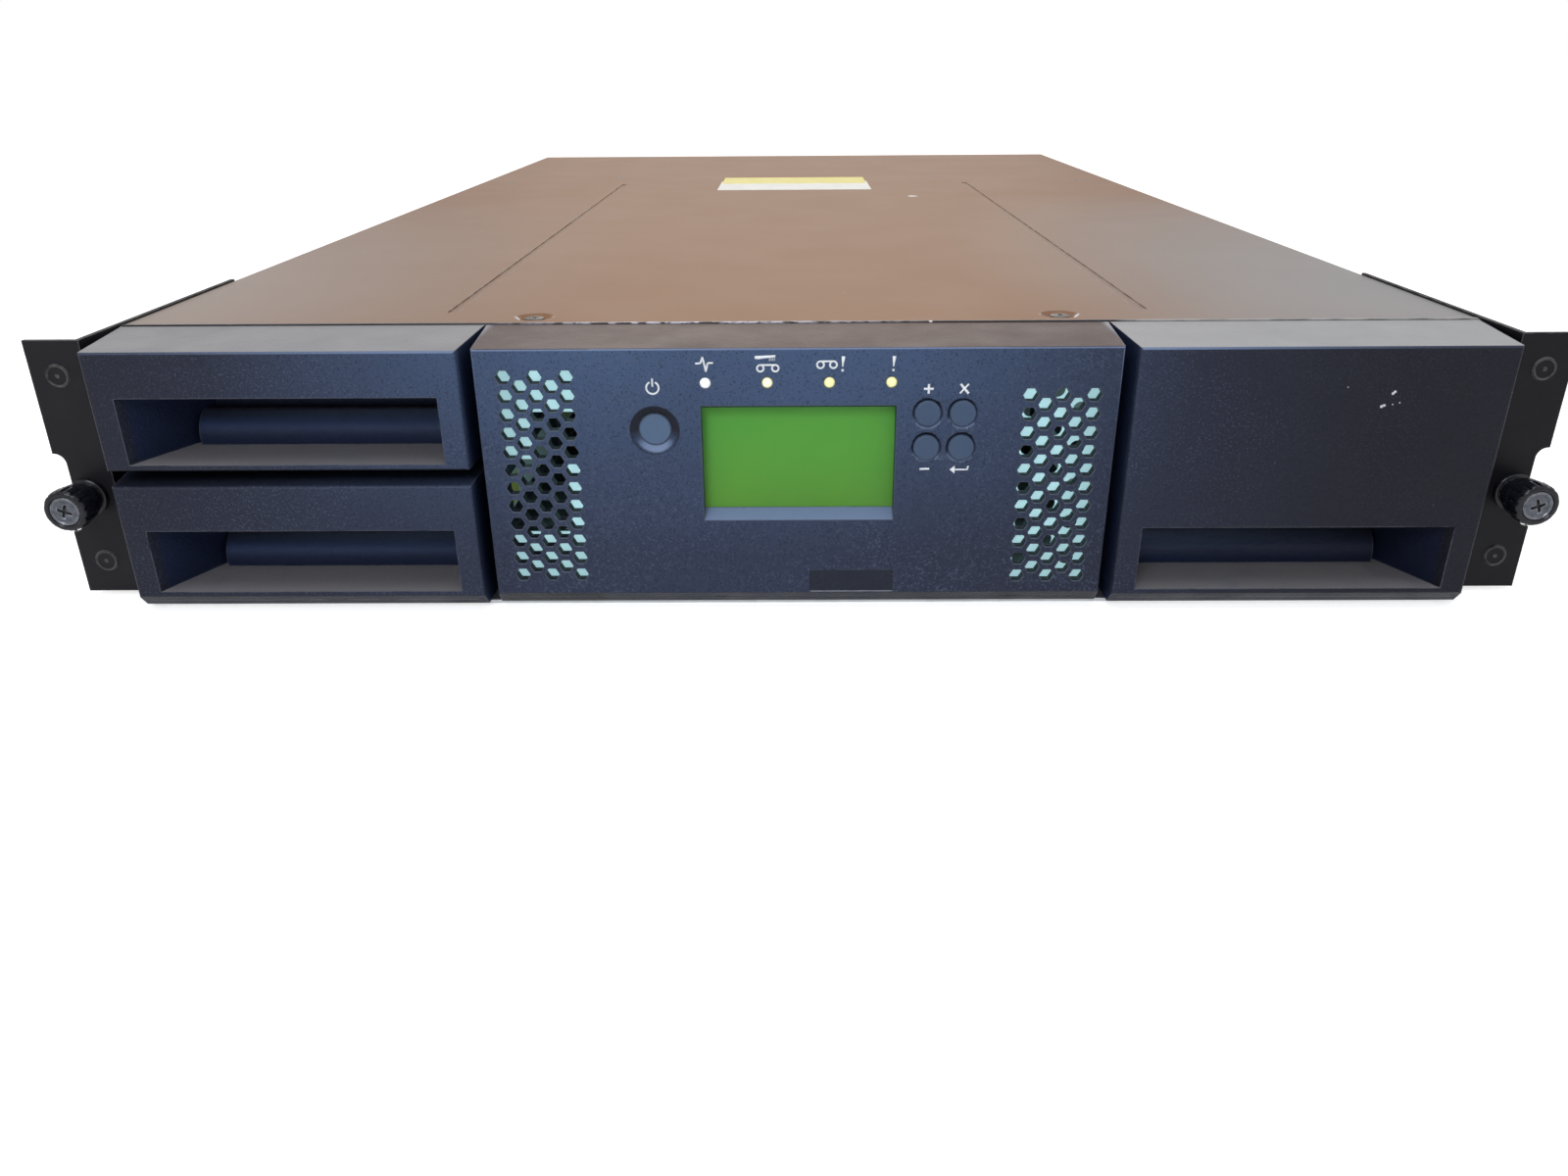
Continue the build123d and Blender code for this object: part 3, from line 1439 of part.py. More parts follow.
def make_mains_inlet():
    """A three-pin inlet with a cup for the plug."""
    flange_y = (rear_inner, rear_inner + inlet_flange)
    flange = block(around(inlet_x, inlet_flange_width), flange_y, around(inlet_z, inlet_flange_height))
    flange = fillet(flange.edges().filter_by(Axis.Y), inlet_flange_round)
    body_y = (rear_inner - inlet_depth, rear_inner)
    body = block(around(inlet_x, inlet_width), body_y, around(inlet_z, inlet_height))
    cup_y = (rear_inner + inlet_flange - inlet_cup_depth, rear_inner + inlet_flange + overrun)
    cup = block(around(inlet_x, inlet_cup_width), cup_y, around(inlet_z, inlet_cup_height))
    top_corners = cup.edges().filter_by(Axis.Y).sort_by(Axis.Z)[-2:]
    inlet = flange + body - chamfer(top_corners, inlet_corner)
    pin_y = (cup_y[0], cup_y[0] + inlet_pin_length)
    for step in (-1, 0, 1):
        z = inlet_z + (inlet_pin_rise if step == 0 else -inlet_pin_rise)
        x = inlet_x + step * inlet_pin_pitch
        inlet = inlet + block(around(x, inlet_pin_width), pin_y, around(z, inlet_pin_height))
    return inlet


# Library controller


def controller_span():
    return (-controller_outer_x, -controller_inner_x)


def port_places():
    return in_a_row(sum(controller_span()) / 2, port_pitch, ports)


def make_controller_board():
    x_span = controller_span()
    y_span = (rear_inner - controller_board_length, rear_inner - steel)
    board = block(x_span, y_span, (controller_board_z, controller_board_z + board_thick))
    inset = controller_post_inset
    for x in (x_span[0] + inset, x_span[1] - inset):
        for y in (y_span[0] + inset, y_span[1] - controller_rear_inset):
            board = board + post(controller_post_radius, x, y, (steel, controller_board_z))
    return board


def make_heat_sink():
    middle_x = sum(controller_span()) / 2
    middle_y = rear_inner - controller_board_length * controller_sink_place_share
    low = controller_board_z + board_thick
    base_z = (low, low + controller_sink_base)
    y_span = around(middle_y, controller_sink_side)
    sink = block(around(middle_x, controller_sink_side), y_span, base_z)
    pitch = controller_sink_side / controller_sink_fins
    fin_z = (base_z[1], low + controller_sink_height)
    for x in in_a_row(middle_x, pitch, controller_sink_fins):
        sink = sink + block(around(x, pitch * controller_fin_share), y_span, fin_z)
    return sink


def make_controller_ports():
    shells = []
    z_span = (controller_board_z + board_thick, controller_board_z + board_thick + port_height)
    for x in port_places():
        y_span = (rear_inner - port_depth, chassis_depth)
        shell = block(around(x, port_width), y_span, z_span)
        mouth_y = (rear_inner - port_depth * port_mouth_share, chassis_depth + overrun)
        mouth = block(around(x, port_width - 2 * steel), mouth_y, (z_span[0] + steel, z_span[1] - steel))
        shells.append(shell - mouth)
    return group(shells)


def make_controller_plate():
    """The plate that closes the controller's cut-out, seated against the rear panel from inside."""
    x_span = controller_span()
    y_span = (rear_inner - steel, rear_inner)
    plate = block(x_span, y_span, (steel, supply_top))
    cut_y = (y_span[0] - overrun, y_span[1] + overrun)
    port_z = (controller_board_z + board_thick, controller_board_z + board_thick + port_height)
    for x in port_places():
        plate = plate - block(around(x, port_width), cut_y, port_z)
    return cut_grille(plate, sum(x_span) / 2, cut_y)


def every_node():
    """Node names and the solids they hold."""
    nodes = {
        "floor_pan": make_floor_pan(),
        "right_side_wall": make_side_wall(),
        "left_side_wall": to_left(make_side_wall()),
        "top_cover": make_top_cover(),
        "cover_screws": make_cover_screws(),
        "right_ear": make_ear(),
        "left_ear": to_left(make_ear()),
        "ear_screws": make_ear_screws(),
        "rack_screw_ferrules": make_ferrules(),
        "right_rack_screw": make_rack_screw(),
        "left_rack_screw": to_left(make_rack_screw()),
        "rear_panel": make_rear_panel(),
        "drive_bay_brackets": make_bay_brackets(),
        "front_panel": make_front_panel(),
        "display_glass": make_display_glass(),
        "display_frame": make_display_frame(),
        "ready_light": make_light(0),
        "fault_lights": group([make_light(step) for step in range(1, lights)]),
        "operator_board": make_operator_board(),
        "operator_bracket": make_operator_bracket(),
        "right_magazine_door": make_door(door_bottom, door_top, pocket_low_bottom, True),
        "left_magazine_door": to_left(make_door(door_bottom, door_seam_low, pocket_low_bottom, True)),
        "mail_slot_door": to_left(make_door(door_seam_high, door_top, pocket_high_bottom, False)),
        "right_magazine_tray": make_magazine_tray(False),
        "left_magazine_tray": to_left(make_magazine_tray(True)),
        "mail_slot_tray": to_left(make_mail_tray()),
        "right_cartridges": group(make_cartridges(False)),
        "left_cartridges": group([to_left(piece) for piece in make_cartridges(True)]),
        "magazine_guides": group([make_magazine_guides(), to_left(make_magazine_guides())]),
        "toothed_rail": make_toothed_rail(),
        "plain_rail": make_plain_rail(),
        "carriage": make_carriage(),
        "carriage_motor": make_motor(),
        "drive_pinion": make_pinion(),
        "turntable": make_turntable(),
        "lift_rods": group(make_lift_rods()),
        "lift_bridge": make_bridge(),
        "lift_screw": make_lift_screw(),
        "cartridge_cradle": make_cradle(),
        "gripper": make_gripper(),
        "sled_tray": make_sled_tray(),
        "tape_drive": make_tape_drive(),
        "sled_rear_plate": make_sled_plate(),
        "sled_handle": make_sled_handle(),
        "sled_board": make_sled_board(),
        "right_sled_screw": make_sled_screw(),
        "left_sled_screw": to_left(make_sled_screw()),
        "power_supply_case": make_supply_case(),
        "fan_grille": make_fan_grille(),
        "fan_rotor": make_fan_rotor(),
        "mains_inlet": make_mains_inlet(),
        "controller_board": make_controller_board(),
        "controller_heat_sink": make_heat_sink(),
        "controller_ports": make_controller_ports(),
        "controller_plate": make_controller_plate(),
    }
    for name, (x, z, radius, proud, travel) in button_places().items():
        nodes[name] = make_button(x, z, radius, proud, travel)
    return nodes


os.makedirs("parts", exist_ok=True)
for node_name, node_solid in every_node().items():
    export_step(node_solid, f"parts/{node_name}.step")
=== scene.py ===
import bpy
import json
import math
from mathutils import Matrix, Vector


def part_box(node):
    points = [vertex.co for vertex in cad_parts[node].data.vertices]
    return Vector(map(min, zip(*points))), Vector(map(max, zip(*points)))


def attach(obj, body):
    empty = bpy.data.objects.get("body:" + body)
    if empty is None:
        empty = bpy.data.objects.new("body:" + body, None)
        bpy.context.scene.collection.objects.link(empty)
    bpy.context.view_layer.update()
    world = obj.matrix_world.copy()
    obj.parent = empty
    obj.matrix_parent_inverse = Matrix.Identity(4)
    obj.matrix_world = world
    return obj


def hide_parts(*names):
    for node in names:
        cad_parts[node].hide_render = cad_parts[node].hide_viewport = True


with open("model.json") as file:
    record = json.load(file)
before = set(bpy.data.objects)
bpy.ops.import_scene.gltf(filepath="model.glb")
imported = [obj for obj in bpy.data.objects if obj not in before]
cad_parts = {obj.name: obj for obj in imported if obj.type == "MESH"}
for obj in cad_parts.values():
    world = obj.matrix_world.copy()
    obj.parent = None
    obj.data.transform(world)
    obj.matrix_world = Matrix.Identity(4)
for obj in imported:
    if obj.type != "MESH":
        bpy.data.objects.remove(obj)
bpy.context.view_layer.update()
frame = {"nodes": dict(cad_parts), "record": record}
cad = frame["nodes"]

# Sizes and places are in millimetres, and MM turns them into metres
MM = 0.001
TAU = 2 * math.pi
QUARTER = math.radians(90)

# Places that the finishes follow
EDGE_RADIUS = 0.35
FRONT_LIGHT_X = -30.0
PANEL_SIDE = (99.0, 101.0)
POCKET_DEPTHS = (-13.2, -11.5)
DISH_DEPTHS = (-13.58, -13.4)
VENT_DEPTHS = (-13.4, -13.0)
TOP_FACE = (86.2, 86.8)
COVER_TOP = 87.0
DOOR_FACE_Y = -15.5
DOOR_SEAM = 44.4
DUST_AND_SHEEN_PATCH = 14.0
# x, z, radius
DOOR_SCUFFS = [(180.1, 72.7, 0.5), (180.6, 73.2, 0.5), (177.5, 68.7, 0.55), (178.2, 69.0, 0.5),
               (180.7, 69.3, 0.25), (182.7, 69.8, 0.25), (166.2, 74.7, 0.2)]
PIPE_PAINTED_GLOW = 0.2
COAT_ROUGHNESS = 0.1
DISH_RADIUS = 8.0
DIMPLE_X = 88.9
DIMPLE_Y = 35.4
DIMPLE_Z = 86.6
DIMPLE_HIGHLIGHT_REACH = 5.6

# Camera at the photograph's viewing angle
IMAGE_WIDTH = 1600
FOCAL_PIXELS = 1187.609
SENSOR = 36.0
CAMERA_AT = (-1.28, -361.38, 165.48)
CAMERA_PITCH = 0.4252766
CAMERA_YAW = 0.0091072
CAMERA_ROLL = -0.0070488
CAMERA_NEAR = 10.0

# Light
WORLD_LIGHT = 0.42
WHITE = (1.0, 1.0, 1.0)
FLOOR_COLOUR = (0.86, 0.86, 0.87)
FLOOR_LIFT = 0.62
FLOOR_HALF = 30000.0
FLOOR_DROP = 0.2
LAMPS = [
    # name, place, target, side, watts, colour
    ("key_lamp", (-420, -1350, 1080), (0, 0, 40), 620, 13.0, (0.92, 0.96, 1.0)),
    ("overhead_lamp", (-60, -260, 1400), (0, -20, 40), 700, 6.5, (0.86, 0.93, 1.0)),
    ("fill_lamp", (1500, -1100, 1000), (0, 150, 40), 1300, 3.0, (0.95, 0.97, 1.0)),
    ("rear_lamp", (0, 2700, 1350), (0, 300, 80), 1500, 8.0, (1.0, 0.78, 0.58)),
]


# Materials


def rgba(colour):
    return (colour[0], colour[1], colour[2], 1.0)


class Finish:
    """A material in the making: its shader, and the colour and normal that the next layer goes over."""

    def __init__(self, name, colour, roughness, metallic=0.0, specular=0.5, coat=0.0):
        self.material = bpy.data.materials.new(name)
        self.material.use_nodes = True
        self.tree = self.material.node_tree
        self.shader = next(n for n in self.tree.nodes if n.type == "BSDF_PRINCIPLED")
        self.colour = rgba(colour)
        self.normal = None
        self.feed(self.shader, {"Base Color": self.colour, "Roughness": roughness, "Metallic": metallic,
                                "Specular IOR Level": specular, "Coat Weight": coat,
                                "Coat Roughness": COAT_ROUGHNESS})
        self.place = self.node("TexCoord")["Object"]
        self.material.diffuse_color = self.colour

    def feed(self, node, inputs):
        """Links a node's inputs to other nodes' outputs, or sets them to numbers and colours."""
        for key, value in dict(inputs).items():
            if isinstance(value, bpy.types.NodeSocket):
                self.tree.links.new(value, node.inputs[key])
            else:
                node.inputs[key].default_value = value

    def node(self, kind, inputs=(), **settings):
        """The outputs of a new node."""
        node = self.tree.nodes.new("ShaderNode" + kind)
        for key, value in settings.items():
            setattr(node, key, value)
        self.feed(node, inputs)
        return node.outputs

    def texture_inputs(self, size, stretch):
        """What makes a texture's patches about size millimetres wide."""
        place = self.place
        if stretch:
            place = self.node("Mapping", {"Scale": stretch, "Vector": place})["Vector"]
        return {"Scale": 1.0 / (size * MM), "Vector": place}

    def noise(self, size, detail=3.0, stretch=None):
        """Cloudy values from 0 to 1."""
        inputs = self.texture_inputs(size, stretch)
        return self.node("TexNoise", {**inputs, "Detail": detail})["Fac"]

    def cells(self, size, feature="F1", stretch=None):
        """The colours and distances of scattered cells."""
        return self.node("TexVoronoi", self.texture_inputs(size, stretch), feature=feature)

    def span(self, value, low, high, start=0.0, end=1.0):
        """The value's range from low to high, spread over start to end."""
        inputs = {"Value": value, "From Min": low, "From Max": high, "To Min": start, "To Max": end}
        return self.node("MapRange", inputs)["Result"]

    def fade(self, place, low, high, start=0.0, end=1.0):
        """The span of a place or distance between two lengths in millimetres."""
        return self.span(place, low * MM, high * MM, start, end)

    def math(self, operation, first, second):
        return self.node("Math", {0: first, 1: second}, operation=operation)["Value"]

    def times(self, product, *others):
        for other in others:
            product = self.math("MULTIPLY", product, other)
        return product

    def tint(self, mask, colour):
        """Lays a colour over what is there, where the mask is 1."""
        layers = {0: mask, 6: self.colour, 7: rgba(colour)}
        self.colour = self.node("Mix", layers, data_type="RGBA")[2]
        self.feed(self.shader, {"Base Color": self.colour})

    def mottle(self, patch, detail, low, high, share, colour):
        """Cloudy patches of another colour, laid on by a share."""
        self.tint(self.span(self.noise(patch, detail), low, high, 0.0, share), colour)

    def gloss(self, value, low, high):
        """Roughness from low to high as the value goes from 0 to 1."""
        self.feed(self.shader, {"Roughness": self.span(value, 0.3, 0.7, low, high)})

    def glow(self, colour, strength):
        self.feed(self.shader, {"Emission Color": rgba(colour), "Emission Strength": strength})

    def relief(self, height, depth, strength=1.0):
        """Bumps as high as depth, in millimetres."""
        inputs = {"Strength": strength, "Distance": depth * MM, "Height": height,
                  "Normal": self.normal or self.bevelled(EDGE_RADIUS, 6)}
        self.normal = self.node("Bump", inputs)["Normal"]
        self.feed(self.shader, {"Normal": self.normal})

    def bevelled(self, width, samples):
        """The surface's normal, turned over edges as if they were slightly rounded."""
        return self.node("Bevel", {"Radius": width * MM}, samples=samples)["Normal"]

    def facing(self):
        return self.node("NewGeometry")["Normal"]

    def edges(self, width):
        """1 along the edges, within about width millimetres of them."""
        normals = {0: self.bevelled(width, 4), 1: self.facing()}
        return self.span(self.node("VectorMath", normals, operation="DOT_PRODUCT")["Value"], 0.995, 0.85)

    def lying(self, low, high):
        """0 to 1 as the surface turns from upright to facing up."""
        return self.span(self.node("SeparateXYZ", {0: self.facing()})["Z"], low, high)

    def dust_and_sheen(self, colour, patch, where):
        """Dust and a painted sheen on what faces up, where the mask is 1."""
        film = self.times(self.span(self.noise(patch, 4.0), 0.2, 0.5, 0.75, 1.0), where)
        self.tint(self.times(self.lying(0.92, 0.985), film), colour)

    def worn_edges(self, width, colour, patch=6.0, share=0.5):
        """Another colour along a share of the edges, in patches."""
        patches = self.span(self.noise(patch, 5.0), 0.75 - share / 2, 0.85 - share / 2)
        self.tint(self.times(self.edges(width), patches), colour)

    def specks(self, size, colour, rarity, reach):
        """Single small grains of another colour in a few of the cells."""
        cells = self.cells(size)
        chosen = self.math("GREATER_THAN", self.node("SeparateColor", {0: cells["Color"]})[0], rarity)
        near = self.span(cells["Distance"], reach, reach * 0.6)
        self.tint(self.times(chosen, near), colour)

    def axis(self, name):
        return self.node("SeparateXYZ", {0: self.place})[name]

    def off(self, name, middle=0.0):
        """How far the surface is from a place on an axis, to either side."""
        return self.math("ABSOLUTE", self.math("ADD", self.axis(name), -middle * MM), 0.0)

    def distance(self, centre):
        """How far the surface is from a place on the object that is given in millimetres."""
        places = {0: self.place, 1: [c * MM for c in centre]}
        return self.node("VectorMath", places, operation="DISTANCE")["Value"]

    def spot(self, centre, radius, colour, soft=0.7):
        """One round mark at a place on the object, in millimetres, with a ragged edge."""
        rough_edge = self.times(self.noise(radius * 0.8, 2.0), radius * MM * 0.9)
        distance = self.math("ADD", self.distance(centre), rough_edge)
        self.tint(self.fade(distance, radius * 1.5, radius * 1.5 * soft), colour)


def middle_of(node):
    """The x and z of a node's middle, in millimetres."""
    low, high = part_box(node)
    return [0.5 * (low[axis] + high[axis]) / MM for axis in (0, 2)]


def cover_paint():
    """Brown satin paint on the cover, with a painted reflection that greys it towards the sides, painted
    highlights at the ends of the front dimples, and faint smudges, scratches and chips.
    """
    f = Finish("cover_paint", (0.230, 0.116, 0.060), 0.46, specular=0.13)
    # Painted reflection: towards the sides and the front the cover turns warm grey, and neutral grey on the
    # right
    wander = f.times(f.noise(160, 2.0), 50 * MM)
    sides = f.fade(f.math("ADD", f.off("X"), wander), 100, 270)
    outer = f.times(sides, f.fade(f.axis("Y"), 420, 80))
    f.tint(f.times(outer, 0.9), (0.325, 0.280, 0.255))
    f.tint(f.times(outer, f.fade(f.axis("X"), 0, 150)), (0.262, 0.262, 0.270))
    f.mottle(60, 3.0, 0.4, 0.75, 0.06, (0.28, 0.19, 0.13))
    f.mottle(1.6, 2.0, 0.5, 0.8, 0.08, (0.12, 0.075, 0.05))
    scratches = f.span(f.noise(1.1, 2.0, stretch=(0.03, 1.0, 1.0)), 0.72, 0.77, 0.0, 0.08)
    f.tint(scratches, (0.42, 0.36, 0.3))
    f.specks(9.0, (0.6, 0.57, 0.52), 0.98, 0.035)
    f.spot((74.7, 412.8, COVER_TOP), 3.4, (0.9, 0.89, 0.87))
    f.spot((33.1, 427.1, COVER_TOP), 1.3, (0.03, 0.025, 0.02))
    # Painted highlights: a bright spot at either end of each front dimple
    for x in (-DIMPLE_X, DIMPLE_X):
        for end in (-DIMPLE_HIGHLIGHT_REACH, DIMPLE_HIGHLIGHT_REACH):
            f.spot((x + end, DIMPLE_Y, DIMPLE_Z), 1.5, (0.80, 0.78, 0.76), 0.5)
    f.gloss(f.noise(40, 3.0), 0.445, 0.475)
    f.relief(f.noise(0.8, 2.0), 0.016)
    f.relief(f.noise(18, 2.0), 0.02)
    f.worn_edges(0.8, (0.34, 0.30, 0.27), share=0.6)
    return f.material


def ear_paint():
    """Black paint with grey specks, with painted shade on the right ear, and rubbed edges that are also a
    painted highlight on the plugs' rings.
    """
    f = Finish("ear_paint", (0.0065, 0.006, 0.0085), 0.44, specular=0.15)
    f.mottle(11, 5.0, 0.45, 0.8, 0.35, (0.013, 0.012, 0.015))
    # Painted shade: the right ear is darker
    f.tint(f.fade(f.axis("X"), 0, 10, 0.0, 0.8), (0.0015, 0.0014, 0.003))
    f.specks(3.5, (0.14, 0.135, 0.13), 0.985, 0.05)
    f.gloss(f.noise(8, 4.0), 0.4, 0.52)
    f.relief(f.noise(0.7, 2.0), 0.02)
    # Rubbed edges, lighter also as a painted highlight on the rings of the ear plugs
    f.worn_edges(0.5, (0.15, 0.145, 0.14), share=0.75)
    return f.material


def paint_slope_highlights(f, across, off_seam):
    """Painted highlights where the front's bevels look up, apart from the seam between the doors."""
    slopes = f.times(f.lying(0.22, 0.42), off_seam, f.fade(across, 200, 100, 0.2, 1.0))
    f.tint(f.times(slopes, f.fade(f.axis("Z"), 6, 12, 0.45, 1.0)), (0.15, 0.20, 0.32))


def paint_pocket_light(f, doors):
    """Painted light in the finger pockets: a bluish lift on their walls, and a brighter painted highlight on
    what looks up at the left.
    """
    inner = f.times(f.fade(f.axis("Y"), *POCKET_DEPTHS), f.span(f.lying(0.5, 0.9), 1.0, 0.0, 0.0, 0.8), doors)
    f.tint(inner, (0.011, 0.018, 0.050))
    left_up = f.times(f.lying(0.1, 0.5), f.fade(f.axis("X"), -PANEL_SIDE[0], -PANEL_SIDE[1]))
    f.tint(f.times(inner, left_up), (0.030, 0.054, 0.140))


def tint_dish(f):
    """The shaded slope of the dish round the power button."""
    x, z = middle_of("power_button")
    centre = (x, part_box("front_panel")[0].y / MM, z)
    dish = f.fade(f.distance(centre), DISH_RADIUS, 0.97 * DISH_RADIUS)
    sloped = f.times(f.fade(f.axis("Y"), *DISH_DEPTHS), f.span(f.lying(0.0, 0.3), 1.0, 0.0))
    f.tint(f.times(dish, sloped), (0.009, 0.011, 0.020))


def dust_and_sheen_on_tops(f, across, doors):
    """Dust and a painted sheen on the doors, thicker on their top faces and most at the right, and on the
    panel's top a brown tint of the same mix.
    """
    top_face = f.fade(f.axis("Z"), *TOP_FACE)
    door_tops = f.times(doors, top_face)
    # Dust and painted sheen on what faces up
    f.dust_and_sheen((0.165, 0.158, 0.168), DUST_AND_SHEEN_PATCH, doors)
    f.dust_and_sheen((0.245, 0.238, 0.248), DUST_AND_SHEEN_PATCH, door_tops)
    f.dust_and_sheen((0.33, 0.325, 0.335), DUST_AND_SHEEN_PATCH, f.times(door_tops, f.fade(f.axis("X"), 0, 100)))
    brown = f.times(f.fade(across, PANEL_SIDE[1], PANEL_SIDE[0]), top_face)
    f.tint(f.times(brown, f.lying(0.75, 0.97)), (0.085, 0.060, 0.057))


def bezel_plastic():
    """Dark moulding with a fine spark-eroded grain. Painted light makes it bluer and lighter up the middle
    and towards the top, and lighter where its bevels look up and in its finger pockets; painted shade darkens
    the right, what faces down, the vents and the dish. Dust and a painted sheen lie on what faces up.
    """
    f = Finish("bezel_plastic", (0.0095, 0.010, 0.0175), 0.46, specular=0.14)
    off_middle = f.off("X", FRONT_LIGHT_X)
    # Painted light: bluer up the middle, and a lighter blue in the upper middle
    f.tint(f.fade(off_middle, 210, 30), (0.027, 0.034, 0.066))
    upper = f.times(f.fade(off_middle, 150, 50), f.fade(f.axis("Z"), 20, 85))
    f.tint(upper, (0.054, 0.088, 0.170))
    f.mottle(45, 4.0, 0.4, 0.75, 0.2, (0.020, 0.021, 0.030))
    patches = f.span(f.noise(30, 3.0), 0.35, 0.65, 0.25, 0.8)
    patches = f.times(patches, f.fade(off_middle, 200, 100, 0.4, 1.0))
    f.tint(f.times(f.span(f.noise(0.7, 3.0), 0.52, 0.72), patches), (0.075, 0.095, 0.150))
    grain = f.cells(0.8, "SMOOTH_F1")["Distance"]
    f.tint(f.span(grain, 0.35, 0.1, 0.0, 0.5), (0.006, 0.007, 0.014))
    across = f.off("X")
    doors = f.fade(across, *PANEL_SIDE)
    off_seam = f.fade(f.off("Z", DOOR_SEAM), 1.5, 3.0)
    paint_slope_highlights(f, across, off_seam)
    paint_pocket_light(f, doors)
    tint_dish(f)
    # Painted shade on what faces down
    f.tint(f.span(f.lying(-0.2, -0.42), 0.0, 1.0, 0.0, 0.75), (0.004, 0.005, 0.010))
    # Painted shade: darker towards the right
    f.tint(f.fade(f.axis("X"), 120, 200, 0.0, 0.5), (0.004, 0.0038, 0.007))
    # Painted shade in the vent holes, behind the front face
    vents = f.times(f.fade(across, 62, 64), f.fade(across, 98.5, 96.5))
    f.tint(f.times(vents, f.fade(f.axis("Y"), *VENT_DEPTHS)), (0.002, 0.003, 0.006))
    dust_and_sheen_on_tops(f, across, f.times(off_seam, doors))
    f.specks(2.6, (0.2, 0.2, 0.21), 0.985, 0.07)
    for x, z, radius in DOOR_SCUFFS:
        f.spot((x, DOOR_FACE_Y, z), radius, (0.62, 0.62, 0.68))
    f.gloss(f.noise(16, 4.0), 0.4, 0.52)
    f.relief(grain, 0.13)
    f.relief(f.noise(0.3, 2.0), 0.03)
    f.worn_edges(0.6, (0.10, 0.105, 0.125), patch=9.0, share=0.85)
    return f.material


def button_rubber():
    f = Finish("button_rubber", (0.050, 0.078, 0.135), 0.55, specular=0.2)
    f.mottle(4, 4.0, 0.4, 0.75, 0.4, (0.062, 0.09, 0.145))
    f.tint(f.fade(f.axis("X"), -20, -30), (0.082, 0.128, 0.21))
    f.gloss(f.noise(2.5, 4.0), 0.55, 0.68)
    f.relief(f.noise(0.35, 3.0), 0.012)
    f.worn_edges(0.35, (0.09, 0.1, 0.13), patch=2.0, share=0.9)
    return f.material


def display_green():
    """An unlit green liquid crystal panel, warmer towards its foot."""
    f = Finish("display_green", (0.075, 0.31, 0.038), 0.34, specular=0.22)
    f.tint(f.fade(f.axis("Z"), 60, 33), (0.085, 0.25, 0.026))
    f.mottle(26, 3.0, 0.4, 0.7, 0.25, (0.115, 0.33, 0.03))
    f.mottle(0.5, 1.0, 0.5, 0.8, 0.12, (0.09, 0.25, 0.04))
    f.gloss(f.noise(12, 3.0), 0.3, 0.4)
    f.relief(f.noise(0.3, 2.0), 0.004)
    return f.material


def light_pipe(name, colour, core):
    """A clear rod with a slight painted glow, though the light is off, yellower right of the middle."""
    f = Finish(name, colour, 0.28, specular=0.4, coat=0.3)
    # Painted glow: the rod is unlit
    f.glow(core, PIPE_PAINTED_GLOW)
    f.tint(f.span(f.noise(1.2, 3.0), 0.35, 0.7), core)
    f.tint(f.fade(f.axis("X"), 0, 5, 0.0, 0.8), (0.90, 0.84, 0.30))
    f.gloss(f.noise(0.8, 3.0), 0.22, 0.36)
    f.relief(f.noise(0.4, 2.0), 0.01)
    return f.material


def galvanised(name, colour, dull, metallic, glow=0.0):
    """Zinc-coated sheet with its crystal spangle, fine scratches and dull patches, and a painted glow where
    glow is given.
    """
    f = Finish(name, colour, 0.34, metallic=metallic)
    f.glow(colour, glow)
    parts = f.node("SeparateColor", {0: f.cells(9.0)["Color"]})
    f.tint(f.span(parts[0], 0.0, 1.0, 0.0, 0.6), dull)
    f.mottle(34, 5.0, 0.45, 0.75, 0.35, [c * 0.82 for c in dull])
    scratches = f.span(f.noise(1.2, 3.0, stretch=(1.0, 0.02, 1.0)), 0.66, 0.74, 0.0, 0.3)
    f.tint(scratches, [c * 1.15 for c in colour])
    f.gloss(parts[1], 0.28, 0.46)
    f.relief(f.noise(0.8, 3.0, stretch=(0.15, 1.0, 1.0)), 0.01)
    f.relief(parts[2], 0.012)
    f.worn_edges(0.5, [min(1.0, c * 1.3) for c in colour], share=0.7)
    return f.material


def plain(name, colour, roughness, mottle, gloss, grain, wear=None, **shader):
    """A finish of one colour with patches of another, an uneven gloss, a fine grain and worn edges."""
    f = Finish(name, colour, roughness, **shader)
    f.mottle(*mottle)
    gloss_patch, low, high = gloss
    f.gloss(f.noise(gloss_patch, 4.0), low, high)
    grain_size, detail, depth = grain
    f.relief(f.noise(grain_size, detail), depth)
    if wear:
        f.worn_edges(*wear)
    return f.material


def circuit_board():
    """Green solder resist over copper tracks."""
    f = Finish("circuit_board", (0.012, 0.10, 0.04), 0.3, specular=0.5, coat=0.3)
    tracks = f.cells(3.4, "DISTANCE_TO_EDGE", (1.0, 0.35, 1.0))["Distance"]
    f.tint(f.span(tracks, 0.09, 0.05), (0.03, 0.19, 0.07))
    f.specks(3.0, (0.62, 0.55, 0.33), 0.75, 0.16)
    f.gloss(f.noise(3, 3.0), 0.24, 0.38)
    f.relief(f.span(tracks, 0.09, 0.05), 0.03)
    f.worn_edges(0.5, (0.25, 0.28, 0.15), share=0.9)
    return f.material


def grained_plastic(name, colour, other, roughness):
    f = Finish(name, colour, roughness, specular=0.4)
    f.mottle(20, 4.0, 0.4, 0.75, 0.6, other)
    f.gloss(f.noise(10, 4.0), roughness - 0.07, roughness + 0.07)
    f.relief(f.cells(0.6, "SMOOTH_F1")["Distance"], 0.03, 0.8)
    f.relief(f.noise(5, 3.0), 0.02)
    f.worn_edges(0.5, [min(1.0, c * 2.2 + 0.02) for c in colour], patch=7.0, share=0.6)
    return f.material


